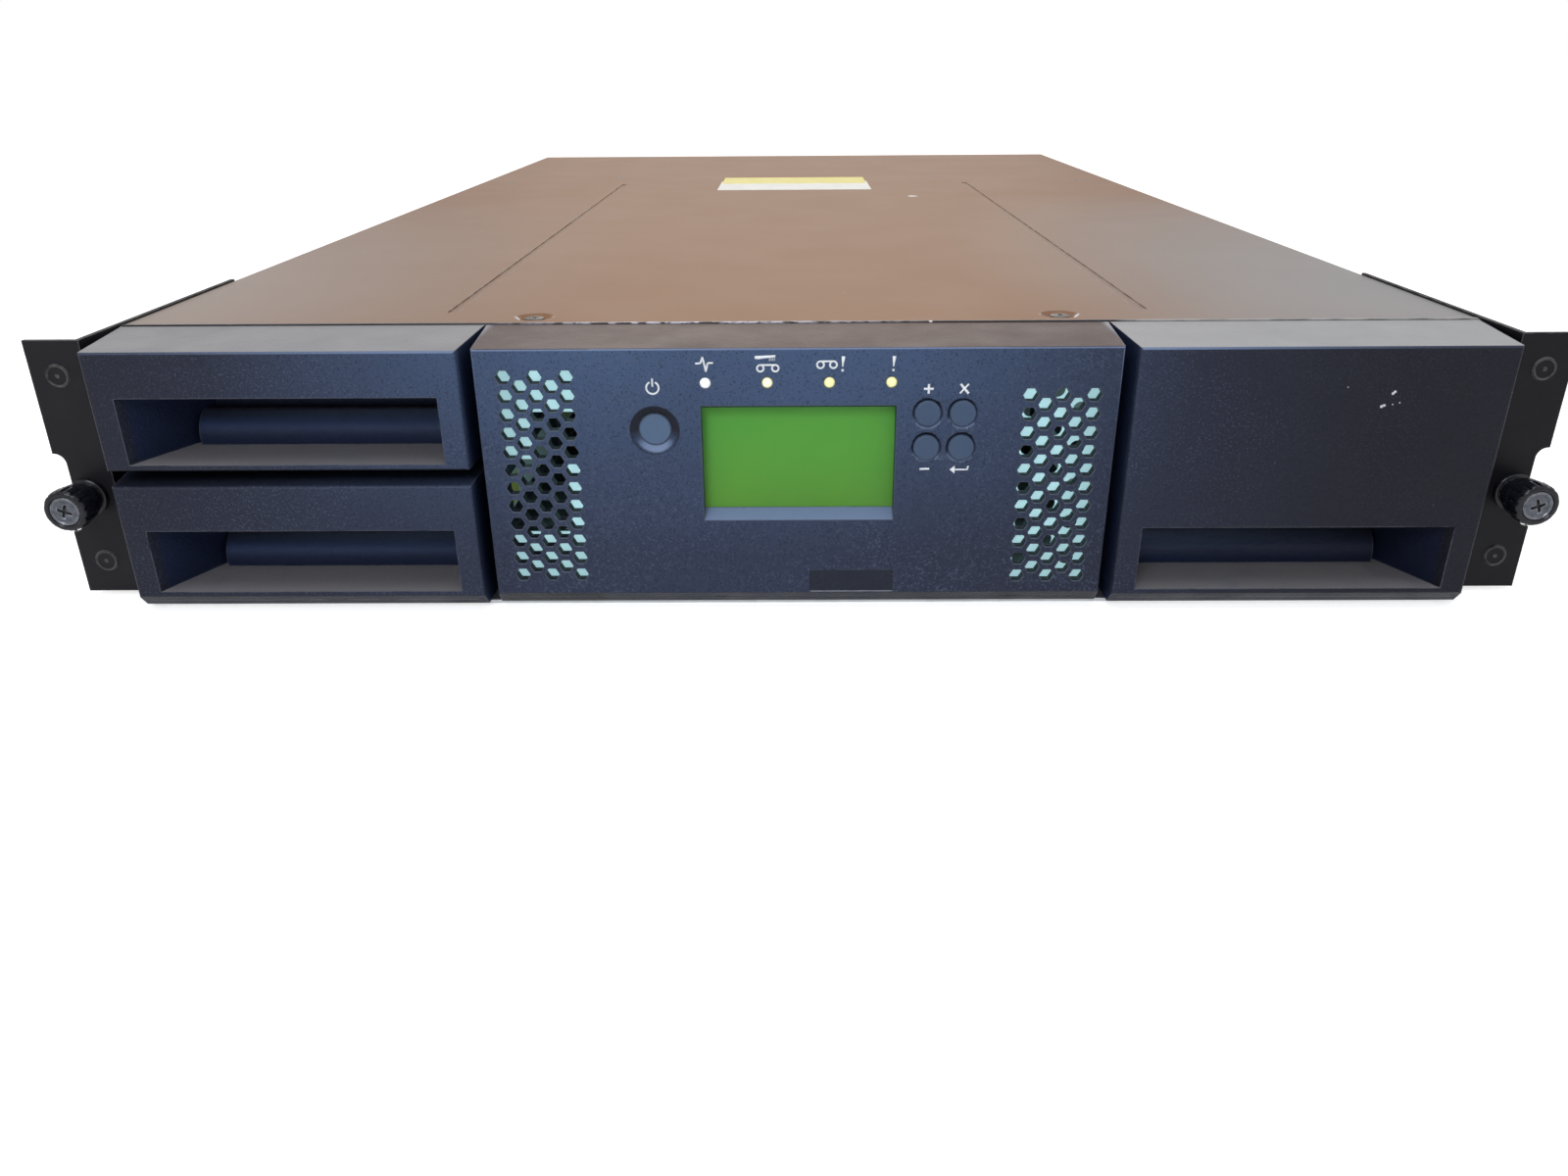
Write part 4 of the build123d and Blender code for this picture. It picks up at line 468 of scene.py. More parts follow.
def worked_metal(name, colour, other, roughness, direction):
    """Plated or milled metal with fine lines along one direction."""
    f = Finish(name, colour, roughness, metallic=1.0)
    lines = f.noise(0.35, 3.0, stretch=direction)
    f.tint(f.span(lines, 0.4, 0.75, 0.0, 0.5), other)
    f.mottle(14, 5.0, 0.5, 0.8, 0.5, other)
    f.gloss(f.noise(14 / 3, 4.0), roughness - 0.08, roughness + 0.1)
    f.relief(lines, 0.008)
    f.worn_edges(0.4, [min(1.0, c * 1.35) for c in colour], patch=4.0, share=0.8)
    return f.material


def paper(name, colour, other, roughness, patch):
    """Printed ink, film and label stock."""
    return plain(name, colour, roughness, (patch, 5.0, 0.4, 0.75, 0.6, other),
                 (patch / 2, roughness - 0.08, roughness + 0.08), (0.5, 3.0, 0.006), specular=0.35)


def material_table():
    """One finish for each material slot of the record, and those of the small added pieces."""
    flow = (0.03, 1.0, 1.0)
    along = (1.0, 0.03, 1.0)
    return {
        "black_steel": cover_paint(),
        "ear_paint": ear_paint(),
        "galvanised_steel": galvanised("galvanised", (0.50, 0.52, 0.54), (0.40, 0.42, 0.44), 0.9),
        # Painted light: a cyan colour and a glow for the plate seen through the vents, which is no lamp
        "zinc_with_painted_glow": galvanised("zinc_with_painted_glow", (0.56, 0.93, 1.0), (0.47, 0.84, 0.92), 0.4, 0.58),
        # Dull black plating of the small screws, rubbed where the driver turned them
        "black_screws": plain("black_screw", (0.03, 0.027, 0.026), 0.36,
                              (1.8, 4.0, 0.45, 0.8, 0.5, (0.075, 0.065, 0.06)), (1.2, 0.28, 0.46),
                              (0.3, 2.0, 0.01), (0.3, (0.38, 0.34, 0.31), 1.4, 0.7), metallic=0.4),
        "glossy_black": plain("glossy_black", (0.006, 0.006, 0.009), 0.22,
                              (2.2, 4.0, 0.45, 0.8, 0.4, (0.02, 0.02, 0.026)), (1.5, 0.16, 0.32),
                              (0.5, 2.0, 0.012), (0.35, (0.10, 0.098, 0.102), 1.6, 0.35),
                              specular=0.2, coat=0.1),
        "screw_metal": plain("screw_metal", (0.085, 0.09, 0.105), 0.3,
                             (1.6, 5.0, 0.4, 0.75, 0.7, (0.035, 0.038, 0.046)), (1.2, 0.24, 0.42),
                             (0.25, 3.0, 0.01), (0.3, (0.34, 0.34, 0.37), 1.5, 0.8), metallic=1.0),
        "bezel_plastic": bezel_plastic(),
        "button_rubber": button_rubber(),
        "display": display_green(),
        "white_light": light_pipe("white_light_pipe", (0.93, 0.92, 0.90), (0.98, 0.98, 0.97)),
        "yellow_light": light_pipe("yellow_light_pipe", (0.86, 0.83, 0.52), (0.93, 0.92, 0.72)),
        "light_rim": light_pipe("light_rim_amber", (0.62, 0.56, 0.12), (0.75, 0.7, 0.2)),
        "black_plastic": plain("moulded_black", (0.016, 0.016, 0.018), 0.42,
                               (9, 4.0, 0.4, 0.8, 0.5, (0.028, 0.028, 0.031)), (5, 0.34, 0.5),
                               (0.5, 2.0, 0.014), (0.4, (0.08, 0.08, 0.085), 3.0, 0.6), specular=0.45),
        "circuit_board": circuit_board(),
        "magazine_plastic": grained_plastic("tray_plastic", (0.05, 0.052, 0.06), (0.07, 0.072, 0.082), 0.5),
        "cartridge_plastic": grained_plastic("cartridge_shell", (0.026, 0.03, 0.045),
                                             (0.038, 0.042, 0.06), 0.44),
        "bare_steel": worked_metal("plated_steel", (0.60, 0.60, 0.61), (0.42, 0.42, 0.44), 0.3, along),
        "motor_case": worked_metal("motor_can", (0.30, 0.30, 0.31), (0.2, 0.2, 0.21), 0.36, (1.0, 1.0, 0.03)),
        "robot_plastic": grained_plastic("robot_moulding", (0.50, 0.51, 0.50), (0.42, 0.43, 0.42), 0.46),
        "drive_case": plain("drive_paint", (0.26, 0.27, 0.28), 0.42,
                            (18, 5.0, 0.4, 0.75, 0.5, (0.2, 0.21, 0.22)), (9, 0.36, 0.5),
                            (0.9, 2.0, 0.02), (0.5, (0.5, 0.5, 0.52), 5.0, 0.5), specular=0.45),
        "sink_aluminium": worked_metal("sink_metal", (0.74, 0.75, 0.76), (0.6, 0.61, 0.63), 0.32, flow),
        "ink": paper("white_ink", (0.86, 0.88, 0.90), (0.74, 0.77, 0.82), 0.5, 1.5),
        "label_film": plain("label_film", (0.007, 0.010, 0.022), 0.3,
                            (7, 4.0, 0.45, 0.8, 0.5, (0.012, 0.016, 0.03)), (5, 0.22, 0.38),
                            (3.0, 2.0, 0.008), specular=0.2),
        "hem_edge": hem_edge(),
        "plate_edge": paper("plate_edge", (0.24, 0.26, 0.30), (0.17, 0.19, 0.23), 0.4, 3.0),
        "label_white": paper("label_white", (0.84, 0.85, 0.82), (0.76, 0.76, 0.72), 0.45, 12.0),
        "label_yellow": paper("label_yellow", (0.80, 0.71, 0.16), (0.70, 0.62, 0.13), 0.42, 10.0),
    }


# Shapes

FINISHES = {}
SIDES = ((-1, "left"), (1, "right"))
CORNER_STEPS = 6
CIRCLE_STEPS = 28
INK_WIDTH = 0.62
INK_FLATNESS = 0.12


def placed(name, data):
    """A new object in the scene."""
    thing = bpy.data.objects.new(name, data)
    bpy.context.scene.collection.objects.link(thing)
    return thing


def piece_from(name, mesh, slot, finish=None, body="chassis", smooth_angle=35.0):
    """A mesh as a named piece that rides on a body, with its slot's finish where no other is named."""
    mesh.name = name
    mesh.materials.clear()
    mesh.materials.append(FINISHES[finish or slot])
    mesh.shade_smooth()
    mesh.set_sharp_from_angle(angle=math.radians(smooth_angle))
    piece = placed(name, mesh)
    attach(piece, body)
    return piece


def mesh_from(points, faces):
    mesh = bpy.data.meshes.new("shape")
    mesh.from_pydata(points, [], faces)
    mesh.validate()
    mesh.update()
    return mesh


def joined(parts):
    """One mesh that holds each of the (mesh, placement) parts."""
    points, faces = [], []
    for mesh, placement in parts:
        start = len(points)
        points += [placement @ v.co for v in mesh.vertices]
        faces += [[start + i for i in p.vertices] for p in mesh.polygons]
    return mesh_from(points, faces)


def copies(mesh, placements):
    return joined((mesh, placement) for placement in placements)


def band(low, high, count):
    """The faces between two closed rings of count points, from their first points' numbers."""
    return [(low + s, low + (s + 1) % count, high + (s + 1) % count, high + s) for s in range(count)]


def revolved(profile, segments=48, wave=None):
    """A solid of revolution about Z from (radius, height) in millimetres, first and last point on the axis.

    wave(angle, index) scales the radius, for flutes.
    """
    rings = profile[1:-1]
    points = [(0, 0, profile[0][1] * MM)]
    for index, (radius, height) in enumerate(rings):
        for step in range(segments):
            angle = TAU * step / segments
            r = radius * MM * (wave(angle, index) if wave else 1.0)
            points.append((r * math.cos(angle), r * math.sin(angle), height * MM))
    points.append((0, 0, profile[-1][1] * MM))
    faces = [(0, 1 + (s + 1) % segments, 1 + s) for s in range(segments)]
    for ring in range(len(rings) - 1):
        faces += band(1 + ring * segments, 1 + (ring + 1) * segments, segments)
    last = 1 + (len(rings) - 1) * segments
    end = len(points) - 1
    faces += [(last + s, last + (s + 1) % segments, end) for s in range(segments)]
    return mesh_from(points, faces)


def turned_ring(rings, segments=48):
    """A closed outline of (radius, z) turned round the axis, clear of the axis itself."""
    points = [(r * MM * math.cos(TAU * s / segments), r * MM * math.sin(TAU * s / segments), z * MM)
              for r, z in rings for s in range(segments)]
    faces = []
    for ring in range(len(rings)):
        faces += band(ring * segments, (ring + 1) % len(rings) * segments, segments)
    return mesh_from(points, faces)


def cross_cutter(length, width, top, depth, taper=0.55):
    """The cross of a driver recess: two blades that narrow downwards."""
    blades = []
    for turn in (0, 1):
        points = []
        for z, share in ((top + 1.0, 1.0), (top, 1.0), (top - depth, taper)):
            for x, y in ((-1, -1), (1, -1), (1, 1), (-1, 1)):
                a, b = x * length / 2 * share, y * width / 2 * (share if share == 1 else 0.8)
                points.append(((a, b, z) if turn == 0 else (b, a, z)))
        faces = [(0, 1, 2, 3), (8, 11, 10, 9)]
        for low in (0, 4):
            for s in range(4):
                t = (s + 1) % 4
                faces.append((low + s, low + 4 + s, low + 4 + t, low + t))
        if turn:
            faces = [tuple(reversed(f)) for f in faces]
        blades.append(mesh_from([[c * MM for c in p] for p in points], faces))
    return blades


def cut(mesh, cutters):
    """The mesh with each cutter taken out."""
    work = placed("work", mesh)
    tools = [placed("tool", cutter) for cutter in cutters]
    for tool in tools:
        modifier = work.modifiers.new("cut", "BOOLEAN")
        modifier.operation = "DIFFERENCE"
        modifier.solver = "EXACT"
        modifier.object = tool
    bpy.context.view_layer.update()
    result = bpy.data.meshes.new_from_object(work.evaluated_get(bpy.context.evaluated_depsgraph_get()))
    for thing in [work] + tools:
        bpy.data.objects.remove(thing)
    return result


def facing_front(x, y, z):
    """Turns a shape's Z towards the front and puts its origin at the place, in millimetres."""
    return facing_up(x, y, z) @ Matrix.Rotation(QUARTER, 4, "X")


def facing_up(x, y, z):
    """Puts a shape's origin at the place, in millimetres."""
    return Matrix.Translation(Vector((x, y, z)) * MM)


def facing_side(x, y, z, side):
    """Turns a shape's Z to the left where side is -1, and to the right where it is 1."""
    return facing_up(x, y, z) @ Matrix.Rotation(side * QUARTER, 4, "Y")


def plate(x_span, y_span, thickness, corner, edge=0.04):
    """A flat plate lying on z = 0 with rounded corners and a softened upper edge, in millimetres."""
    middle_x, middle_y = sum(x_span) / 2, sum(y_span) / 2
    outline = []
    for cx, cy, start in ((x_span[1], y_span[1], 0), (x_span[0], y_span[1], 1),
                          (x_span[0], y_span[0], 2), (x_span[1], y_span[0], 3)):
        ox = cx + (corner if cx < middle_x else -corner)
        oy = cy + (corner if cy < middle_y else -corner)
        for step in range(CORNER_STEPS + 1):
            angle = TAU / 4 * (start + step / CORNER_STEPS)
            outline.append((ox + corner * math.cos(angle), oy + corner * math.sin(angle)))
    count = len(outline)
    points = []
    for height, inset in ((0.0, 0.0), (thickness - edge, 0.0), (thickness, edge)):
        for x, y in outline:
            shift_x = inset if x < middle_x else -inset
            shift_y = inset if y < middle_y else -inset
            points.append(((x + shift_x) * MM, (y + shift_y) * MM, height * MM))
    faces = [tuple(reversed(range(count))), tuple(range(2 * count, 3 * count))]
    for low in (0, count):
        faces += band(low, low + count, count)
    return mesh_from(points, faces)


def stroke(*points, width=INK_WIDTH, closed=False):
    return points, width, closed


def printed(name, strokes, face_y, slot, finish):
    """Ink strokes on an upright face. A stroke is (points, width, closed); a point is (x, z, width share)."""
    curve = bpy.data.curves.new(name, "CURVE")
    curve.dimensions = "3D"
    curve.bevel_depth = MM / 2
    curve.bevel_resolution = 3
    curve.use_fill_caps = True
    for points, width, closed in strokes:
        spline = curve.splines.new("POLY")
        spline.points.add(len(points) - 1)
        for target, point in zip(spline.points, points):
            share = point[2] if len(point) > 2 else 1.0
            target.co = (point[0] * MM, 0.0, point[1] * MM, 1.0)
            target.radius = width * share
        spline.use_cyclic_u = closed
    holder = placed("holder", curve)
    mesh = bpy.data.meshes.new_from_object(holder)
    bpy.data.objects.remove(holder)
    for vertex in mesh.vertices:
        vertex.co.y = face_y * MM + vertex.co.y * INK_FLATNESS
    mesh.update()
    return piece_from(name, mesh, slot, finish, smooth_angle=60.0)


def circle(x, z, radius, start=0.0, end=360.0):
    """The points of a circle, or of an arc between two angles in degrees."""
    count = CIRCLE_STEPS if end - start >= 360 else CIRCLE_STEPS + 1
    angles = [math.radians(start + (end - start) * i / CIRCLE_STEPS) for i in range(count)]
    return [(x + radius * math.cos(a), z + radius * math.sin(a)) for a in angles]


def moved(strokes, x, z):
    return [([(p[0] + x, p[1] + z) + tuple(p[2:]) for p in points], width, closed)
            for points, width, closed in strokes]


# Symbols on the front panel

LIGHT_XS = [-28.0 + 18.9 * n for n in range(4)]
LIGHT_Z = 76.4
ICON_Z = 82.2


def pulse_symbol():
    line = [(-2.8, 0.2), (-1.2, 0.3), (-0.55, 2.2), (0.35, -2.3), (1.0, 0.35), (2.6, 0.35)]
    return [stroke(*pair) for pair in zip(line, line[1:])]


def reels(left_x, right_x, z, radius):
    """Two tape reels with the tape over them."""
    strokes = [stroke(*circle(x, z, radius), closed=True) for x in (left_x, right_x)]
    return strokes + [stroke((left_x, z + radius), (right_x, z + radius))]


def brush_symbol():
    handle = [(-3.7, 2.0, 1.5), (-2.6, 1.95, 1.75), (0.4, 2.2, 1.3), (2.6, 2.35, 1.1)]
    bristles = [stroke((x, 2.1), (x, 0.9), width=0.28) for x in (0.8, 1.3, 1.8, 2.3)]
    return [stroke(*handle)] + bristles + reels(-2.05, 2.5, -1.35, 1.0)


def warning_mark(x):
    stem = [(x + 0.1, 2.2, 1.9), (x + 0.02, 1.2, 1.65), (x - 0.05, 0.0, 1.0), (x - 0.1, -0.95, 0.7)]
    dot = [(x - 0.12, -1.7, 1.2), (x - 0.12, -2.4, 1.2)]
    return [stroke(*stem), stroke(*dot)]


def power_symbol():
    ring = circle(0.0, 0.0, 1.9, 116.0, 424.0)
    return [stroke(*ring), stroke((0.0, 2.9), (0.0, 0.35))]


def plus_symbol():
    return [stroke((-1.5, 0.0), (1.5, 0.0), width=0.75), stroke((0.0, -1.5), (0.0, 1.5), width=0.75)]


def cross_symbol():
    return [stroke((-1.35, -1.5), (1.25, 1.5), width=0.6), stroke((-1.25, 1.5), (1.35, -1.5), width=0.78)]


def enter_symbol():
    line = [(2.75, 1.1), (2.45, -0.1), (-1.6, -0.1)]
    head = [(-3.05, -0.1, 0.1), (-1.45, -0.1, 4.4)]
    return [stroke(*line), stroke(*head)]


def add_symbols(panel_y):
    """A sign over each light, the power sign, and one at each menu button."""
    sets = [
        (pulse_symbol(), LIGHT_XS[0], ICON_Z),
        (brush_symbol(), LIGHT_XS[1], ICON_Z),
        (reels(-2.75, 1.15, -0.35, 1.05) + warning_mark(4.05), LIGHT_XS[2], ICON_Z),
        (warning_mark(0.5), LIGHT_XS[3], ICON_Z),
        (power_symbol(), -44.1, 75.0),
        (plus_symbol(), 40.05, 74.3),
        (cross_symbol(), 50.9, 74.3),
        ([stroke((-1.5, 0.0), (1.5, 0.1), width=0.7)], 39.8, 48.7),
        (enter_symbol(), 50.7, 48.6),
    ]
    strokes = []
    for symbol, x, z in sets:
        strokes += moved(symbol, x, z)
    printed("panel_symbols", strokes, panel_y, "white_light", "ink")


# Panel with the wells of its menu buttons

WELL_RADIUS = 4.95
WELL_DEPTH = 1.0
WELL_OVERRUN = 0.3
BUTTON_HOLE = 4.1
MENU_BUTTONS = ["plus_button", "cancel_button", "minus_button", "enter_button"]


def well_cutter():
    """A cone that opens from the button's hole to the well's rim."""
    slope = (WELL_RADIUS - BUTTON_HOLE) / WELL_DEPTH
    rim = (WELL_RADIUS + slope * WELL_OVERRUN, WELL_OVERRUN)
    return revolved([(0, -WELL_DEPTH), (BUTTON_HOLE, -WELL_DEPTH), rim, (0, WELL_OVERRUN)], 72)


def add_panel(panel_y):
    """The CAD panel's own mesh with a shallow bevelled well round each menu button."""
    shell = cad["front_panel"].data.copy()
    cutters = []
    for name in MENU_BUTTONS:
        x, z = middle_of(name)
        cutters.append(copies(well_cutter(), [facing_front(x, panel_y, z)]))
    piece = piece_from("panel_shell", cut(shell, cutters), "bezel_plastic", smooth_angle=20.0)
    weighted = piece.modifiers.new("weighted", "WEIGHTED_NORMAL")
    weighted.keep_sharp = True
    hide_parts("front_panel")


# Collars of the vents

# x of the first column, pitch across, z of the top row, pitch down
VENT_FIELDS = [(-89.6, 4.78, 78.4, 5.94), (71.3, 4.87, 72.2, 6.0)]
VENT_COLUMNS = 5
VENT_LOW = 12.0
VENT_CORNER = 2.367
COLLAR_WALL = 0.4
COLLAR_DEPTH = 1.3
COLLAR_LAP = 0.1
PANEL_WALL = 2.5


def vent_centres():
    """The places of the staggered vents, left field and right."""
    centres = []
    for left_x, pitch_x, top, pitch_z in VENT_FIELDS:
        rows = int((top - VENT_LOW) / pitch_z) + 1
        for column in range(VENT_COLUMNS):
            shifted = column % 2
            centres += [(left_x + column * pitch_x, top - (row + shifted / 2) * pitch_z)
                        for row in range(rows - shifted)]
    return centres


def add_vent_collars(panel_y):
    """A short moulded collar behind each vent, which makes it as deep as it looks."""
    outer, length = VENT_CORNER + COLLAR_WALL, COLLAR_DEPTH + COLLAR_LAP
    ring = [(outer, 0.0), (outer, length), (VENT_CORNER, length), (VENT_CORNER, 0.0)]
    back = panel_y + PANEL_WALL + COLLAR_DEPTH
    places = [facing_front(x, back, z) for x, z in vent_centres()]
    piece_from("vent_collars", copies(turned_ring(ring, 6), places), "bezel_plastic")


# Lights


PIPE_LENGTH = 12.0
PIPE_RADIUS = 1.5
PIPE_RIM_RADIUS = 1.66
PIPE_RECESS = 0.2


def pipe_mesh():
    """The clear rod with its domed front end, on its axis, back end at z = 0."""
    end = PIPE_LENGTH
    return revolved([(0, 0), (PIPE_RADIUS, 0), (PIPE_RADIUS, end - 0.35), (1.44, end - 0.1),
                     (1.2, end + 0.14), (0.8, end + 0.3), (0.4, end + 0.37), (0, end + 0.4)], 32)


def pipe_rim_mesh():
    """The tinted end of the rod round its dome."""
    end = PIPE_LENGTH
    return revolved([(0, 0), (PIPE_RIM_RADIUS, 0), (PIPE_RIM_RADIUS, end - 0.5), (1.6, end - 0.32),
                     (PIPE_RADIUS, end - 0.3), (0, end - 0.3)], 32)


def add_lights(panel_y):
    """Light pipes with domed ends, in place of the plain ones."""
    for index, x in enumerate(LIGHT_XS):
        place = facing_front(x, panel_y + PIPE_LENGTH - PIPE_RECESS, LIGHT_Z)
        if index == 0:
            name, node, slot, rim_finish = "ready_lens", "ready_light", "white_light", "white_light"
        else:
            name, node, slot, rim_finish = f"fault_lens_{index}", "fault_lights", "yellow_light", "light_rim"
        lens = piece_from(name, copies(pipe_mesh(), [place]), slot, smooth_angle=50.0)
        rim = piece_from(name + "_rim", copies(pipe_rim_mesh(), [place]), slot, rim_finish)
        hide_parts(node)
        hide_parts(node)


# Screws

HEAD_DOME = 0.25
CROSS_WIDTH = 0.26
CUT_OVERRUN = 0.01
FIRST_SPIN = 0.4
NEXT_SPIN = 1.13
COVER_SCREW_Z = 85.2
FLUSH_SCREW_Z = 86.3
FLUSH_SCREWS = [(-201.5, 515.5), (201.5, 515.5), (-128.5, 555.0), (101.5, 555.0), (-128.5, 750.0),
                (101.5, 750.0)]
EAR_SCREWS = [(34.0, 13.6), (98.8, 13.6), (98.8, 45.1)]
EAR_FACE_X = 225.0


def screw_head(radius, height, cross, rod_radius=1.5, rod_length=3.0):
    """A cross-recess screw on its axis, with the underside of its head at z = 0."""
    rim = height - HEAD_DOME
    profile = [(0, -rod_length), (rod_radius - 0.3, -rod_length), (rod_radius, -rod_length + 0.3),
               (rod_radius, 0), (radius - 0.1, 0), (radius, 0.12), (radius, rim - 0.1),
               (radius - 0.18, rim + 0.08), (radius * 0.7, height - 0.05), (radius * 0.35, height),
               (0, height)]
    return cut(revolved(profile, 40), cross_cutter(cross, cross * CROSS_WIDTH, height + CUT_OVERRUN, 0.9))


def flat_screw(radius, height, cross, rod_radius=1.5, rod_length=3.5):
    """A flush screw whose flat head lies in the sheet."""
    profile = [(0, -rod_length), (rod_radius, -rod_length), (rod_radius, 0), (radius - 0.35, 0),
               (radius, height - 0.12), (radius - 0.12, height), (0, height)]
    return cut(revolved(profile, 40), cross_cutter(cross, cross * CROSS_WIDTH, height + CUT_OVERRUN, 0.55))


def spun(placement, index):
    """The placement with a turn of its own, since no two screws stop at the same angle."""
    return placement @ Matrix.Rotation(FIRST_SPIN + NEXT_SPIN * index, 4, "Z")


def add_cover_screws():
    """The screws in the front dimples and the flush ones further back."""
    head, flat = screw_head(3.3, 1.6, 3.6), flat_screw(3.05, 0.68, 3.0)
    parts = [(head, spun(facing_up(side * DIMPLE_X, DIMPLE_Y, COVER_SCREW_Z), i))
             for i, (side, word) in enumerate(SIDES)]
    parts += [(flat, spun(facing_up(x, y, FLUSH_SCREW_Z), i)) for i, (x, y) in enumerate(FLUSH_SCREWS)]
    piece = piece_from("cover_screw_set", joined(parts), "black_screws")
    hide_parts("cover_screws")


def add_ear_screws():
    places = []
    for side, word in SIDES:
        for index, (y, z) in enumerate(EAR_SCREWS):
            places.append(spun(facing_side(side * EAR_FACE_X, y, z, side), index + 3 * (side > 0)))
    heads = copies(screw_head(3.35, 1.6, 3.4, 1.45, 3.6), places)
    piece = piece_from("ear_screw_set", heads, "black_screws")
    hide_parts("ear_screws")


# Captive rack screws

SCREW_X = 232.55
SCREW_Z = 36.6
KNOB_BACK_Y = -7.3
KNOB_SPIN = 0.35
KNOB_FLUTES = 14
FERRULE_BACK_Y = -1.5
EAR_PLUG_X = 232.7
EAR_PLUG_Y = -1.78
EAR_PLUG_ZS = (13.6, 76.6)


def flute(depth):
    """A wave that pinches the radius between the ribs of a knob."""
    def wave(angle, index):
        valley = max(0.0, math.cos(KNOB_FLUTES * angle)) ** 2
        return 1.0 - depth[index] * valley
    return wave


def knob_mesh():
    """The fluted head on its axis, front at z = 9.45, hollowed for the metal face."""
    rings = [(6.0, 0.0), (6.35, 0.3), (6.4, 0.8), (6.4, 2.6), (6.2, 3.0), (6.2, 3.5), (6.6, 3.9), (6.88, 4.3),
             (6.9, 4.8), (6.9, 7.7), (6.78, 8.5), (6.4, 9.15), (5.85, 9.45), (5.2, 9.42), (4.85, 9.15),
             (4.8, 8.8)]
    depth = [0.0] * 6 + [0.02, 0.05, 0.065, 0.065, 0.04, 0.01] + [0.0] * 4
    profile = [(0, 0)] + rings + [(0, 8.8)]
    return revolved(profile, KNOB_FLUTES * 10, flute(depth))


def knob_face_mesh():
    profile = [(0, 8.0), (4.7, 8.0), (4.78, 8.7), (4.65, 9.15), (4.35, 9.3), (4.1, 9.12), (3.95, 9.0),
               (3.3, 9.2), (2.2, 9.36), (1.1, 9.42), (0, 9.44)]
    return cut(revolved(profile, 56), cross_cutter(5.2, 1.15, 9.5, 1.4, 0.6))


def stud_mesh():
    """Neck and thread end from the knob's back at z = 0 down to the tip, as a grid round the axis."""
    segments, pitch, rows_per_turn = 28, 1.0, 8
    neck_end, tip = -7.6, -18.3
    rows = [(2.4, 0.4, 0.0), (2.4, neck_end + 0.15, 0.0), (2.6, neck_end, 0.0)]
    height = neck_end - 0.05
    while height > tip + 0.2:
        fade = min(1.0, (neck_end - height) / 0.8, (height - tip) / 1.4)
        rows.append((2.97, height, 0.42 * max(0.0, fade)))
        height -= pitch / rows_per_turn
    rows += [(2.3, tip + 0.1, 0.0), (2.1, tip, 0.0)]
    points = [(0, 0, rows[0][1] * MM)]
    for radius, z, depth in rows:
        for s in range(segments):
            angle = TAU * s / segments
            phase = (z / pitch + s / segments) % 1.0
            r = (radius - depth * abs(2 * phase - 1)) * MM
            points.append((r * math.cos(angle), r * math.sin(angle), z * MM))
    points.append((0, 0, rows[-1][1] * MM))
    faces = [(0, 1 + s, 1 + (s + 1) % segments) for s in range(segments)]
    for row in range(len(rows) - 1):
        a, b = 1 + row * segments, 1 + (row + 1) * segments
        for s in range(segments):
            t = (s + 1) % segments
            faces.append((a + s, b + s, b + t, a + t))
    last, end = 1 + (len(rows) - 1) * segments, len(points) - 1
    faces += [(end, last + (s + 1) % segments, last + s) for s in range(segments)]
    return mesh_from(points, faces)


def ferrule_mesh():
    """The stepped collar between ear and knob, on its axis, ear side at z = 0, bored for the neck."""
    outer = [(6.15, 0.0), (6.2, 0.35), (6.2, 1.9), (5.9, 2.15), (5.1, 2.3), (5.05, 2.6), (5.05, 3.6),
             (5.5, 3.75), (5.6, 4.1), (5.5, 4.9), (5.2, 5.3), (4.7, 5.5)]
    bore = [(2.5, 5.5), (2.5, 0.0)]
    return turned_ring(outer + bore)


def add_rack_screws():
    """Knob, metal face and stud on each turning body, and the ferrules on the ears."""
    for side, word in SIDES:
        body = word + "_rack_screw"
        place = facing_front(side * SCREW_X, KNOB_BACK_Y, SCREW_Z) @ Matrix.Rotation(KNOB_SPIN * side, 4, "Z")
        for part, shape, finish in (("_knob", knob_mesh(), "glossy_black"),
                                    ("_knob_face", knob_face_mesh(), "screw_metal"),
                                    ("_stud", stud_mesh(), "black_screws")):
            piece = piece_from(word + part, copies(shape, [place]), "black_screws", finish, body)
            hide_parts(body)
    places = [facing_front(side * SCREW_X, FERRULE_BACK_Y, SCREW_Z) for side, word in SIDES]
    collars = piece_from("ferrule_pair", copies(ferrule_mesh(), places), "black_screws",
                         "glossy_black")
    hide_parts("rack_screw_ferrules")


def add_ear_plugs():
    """Pressed rings with a punched centre on the ears."""
    profile = [(0, 0.0), (3.62, 0.0), (3.6, 0.22), (3.45, 0.32), (3.2, 0.3), (3.08, 0.16), (2.9, 0.14),
               (0.55, 0.16), (0.42, 0.06), (0, 0.02)]
    shape = revolved(profile, 40)
    for side, word in SIDES:
        places = [facing_front(side * EAR_PLUG_X, EAR_PLUG_Y, z) for z in EAR_PLUG_ZS]
        piece_from(word + "_ear_plugs", copies(shape, places), "black_steel", "ear_paint")


# Labels

# name, x span, y span, thickness, corner, slot, finish
PANEL_PLATES = [
    ("panel_plate", (4.0, 31.1), (6.9, 14.3), 0.14, 0.5, "black_plastic", "label_film"),
    ("panel_plate_edge", (4.2, 30.9), (6.75, 7.05), 0.2, 0.1, "black_plastic", "plate_edge"),
]
COVER_LABELS = [
    ("cover_label_white", (-51.5, 51.5), (456.0, 516.0), 0.12, 0.8, "white_light", "label_white"),
    ("cover_label_yellow", (-50.6, 50.6), (500.0, 545.0), 0.16, 0.8, "yellow_light", "label_yellow"),
]


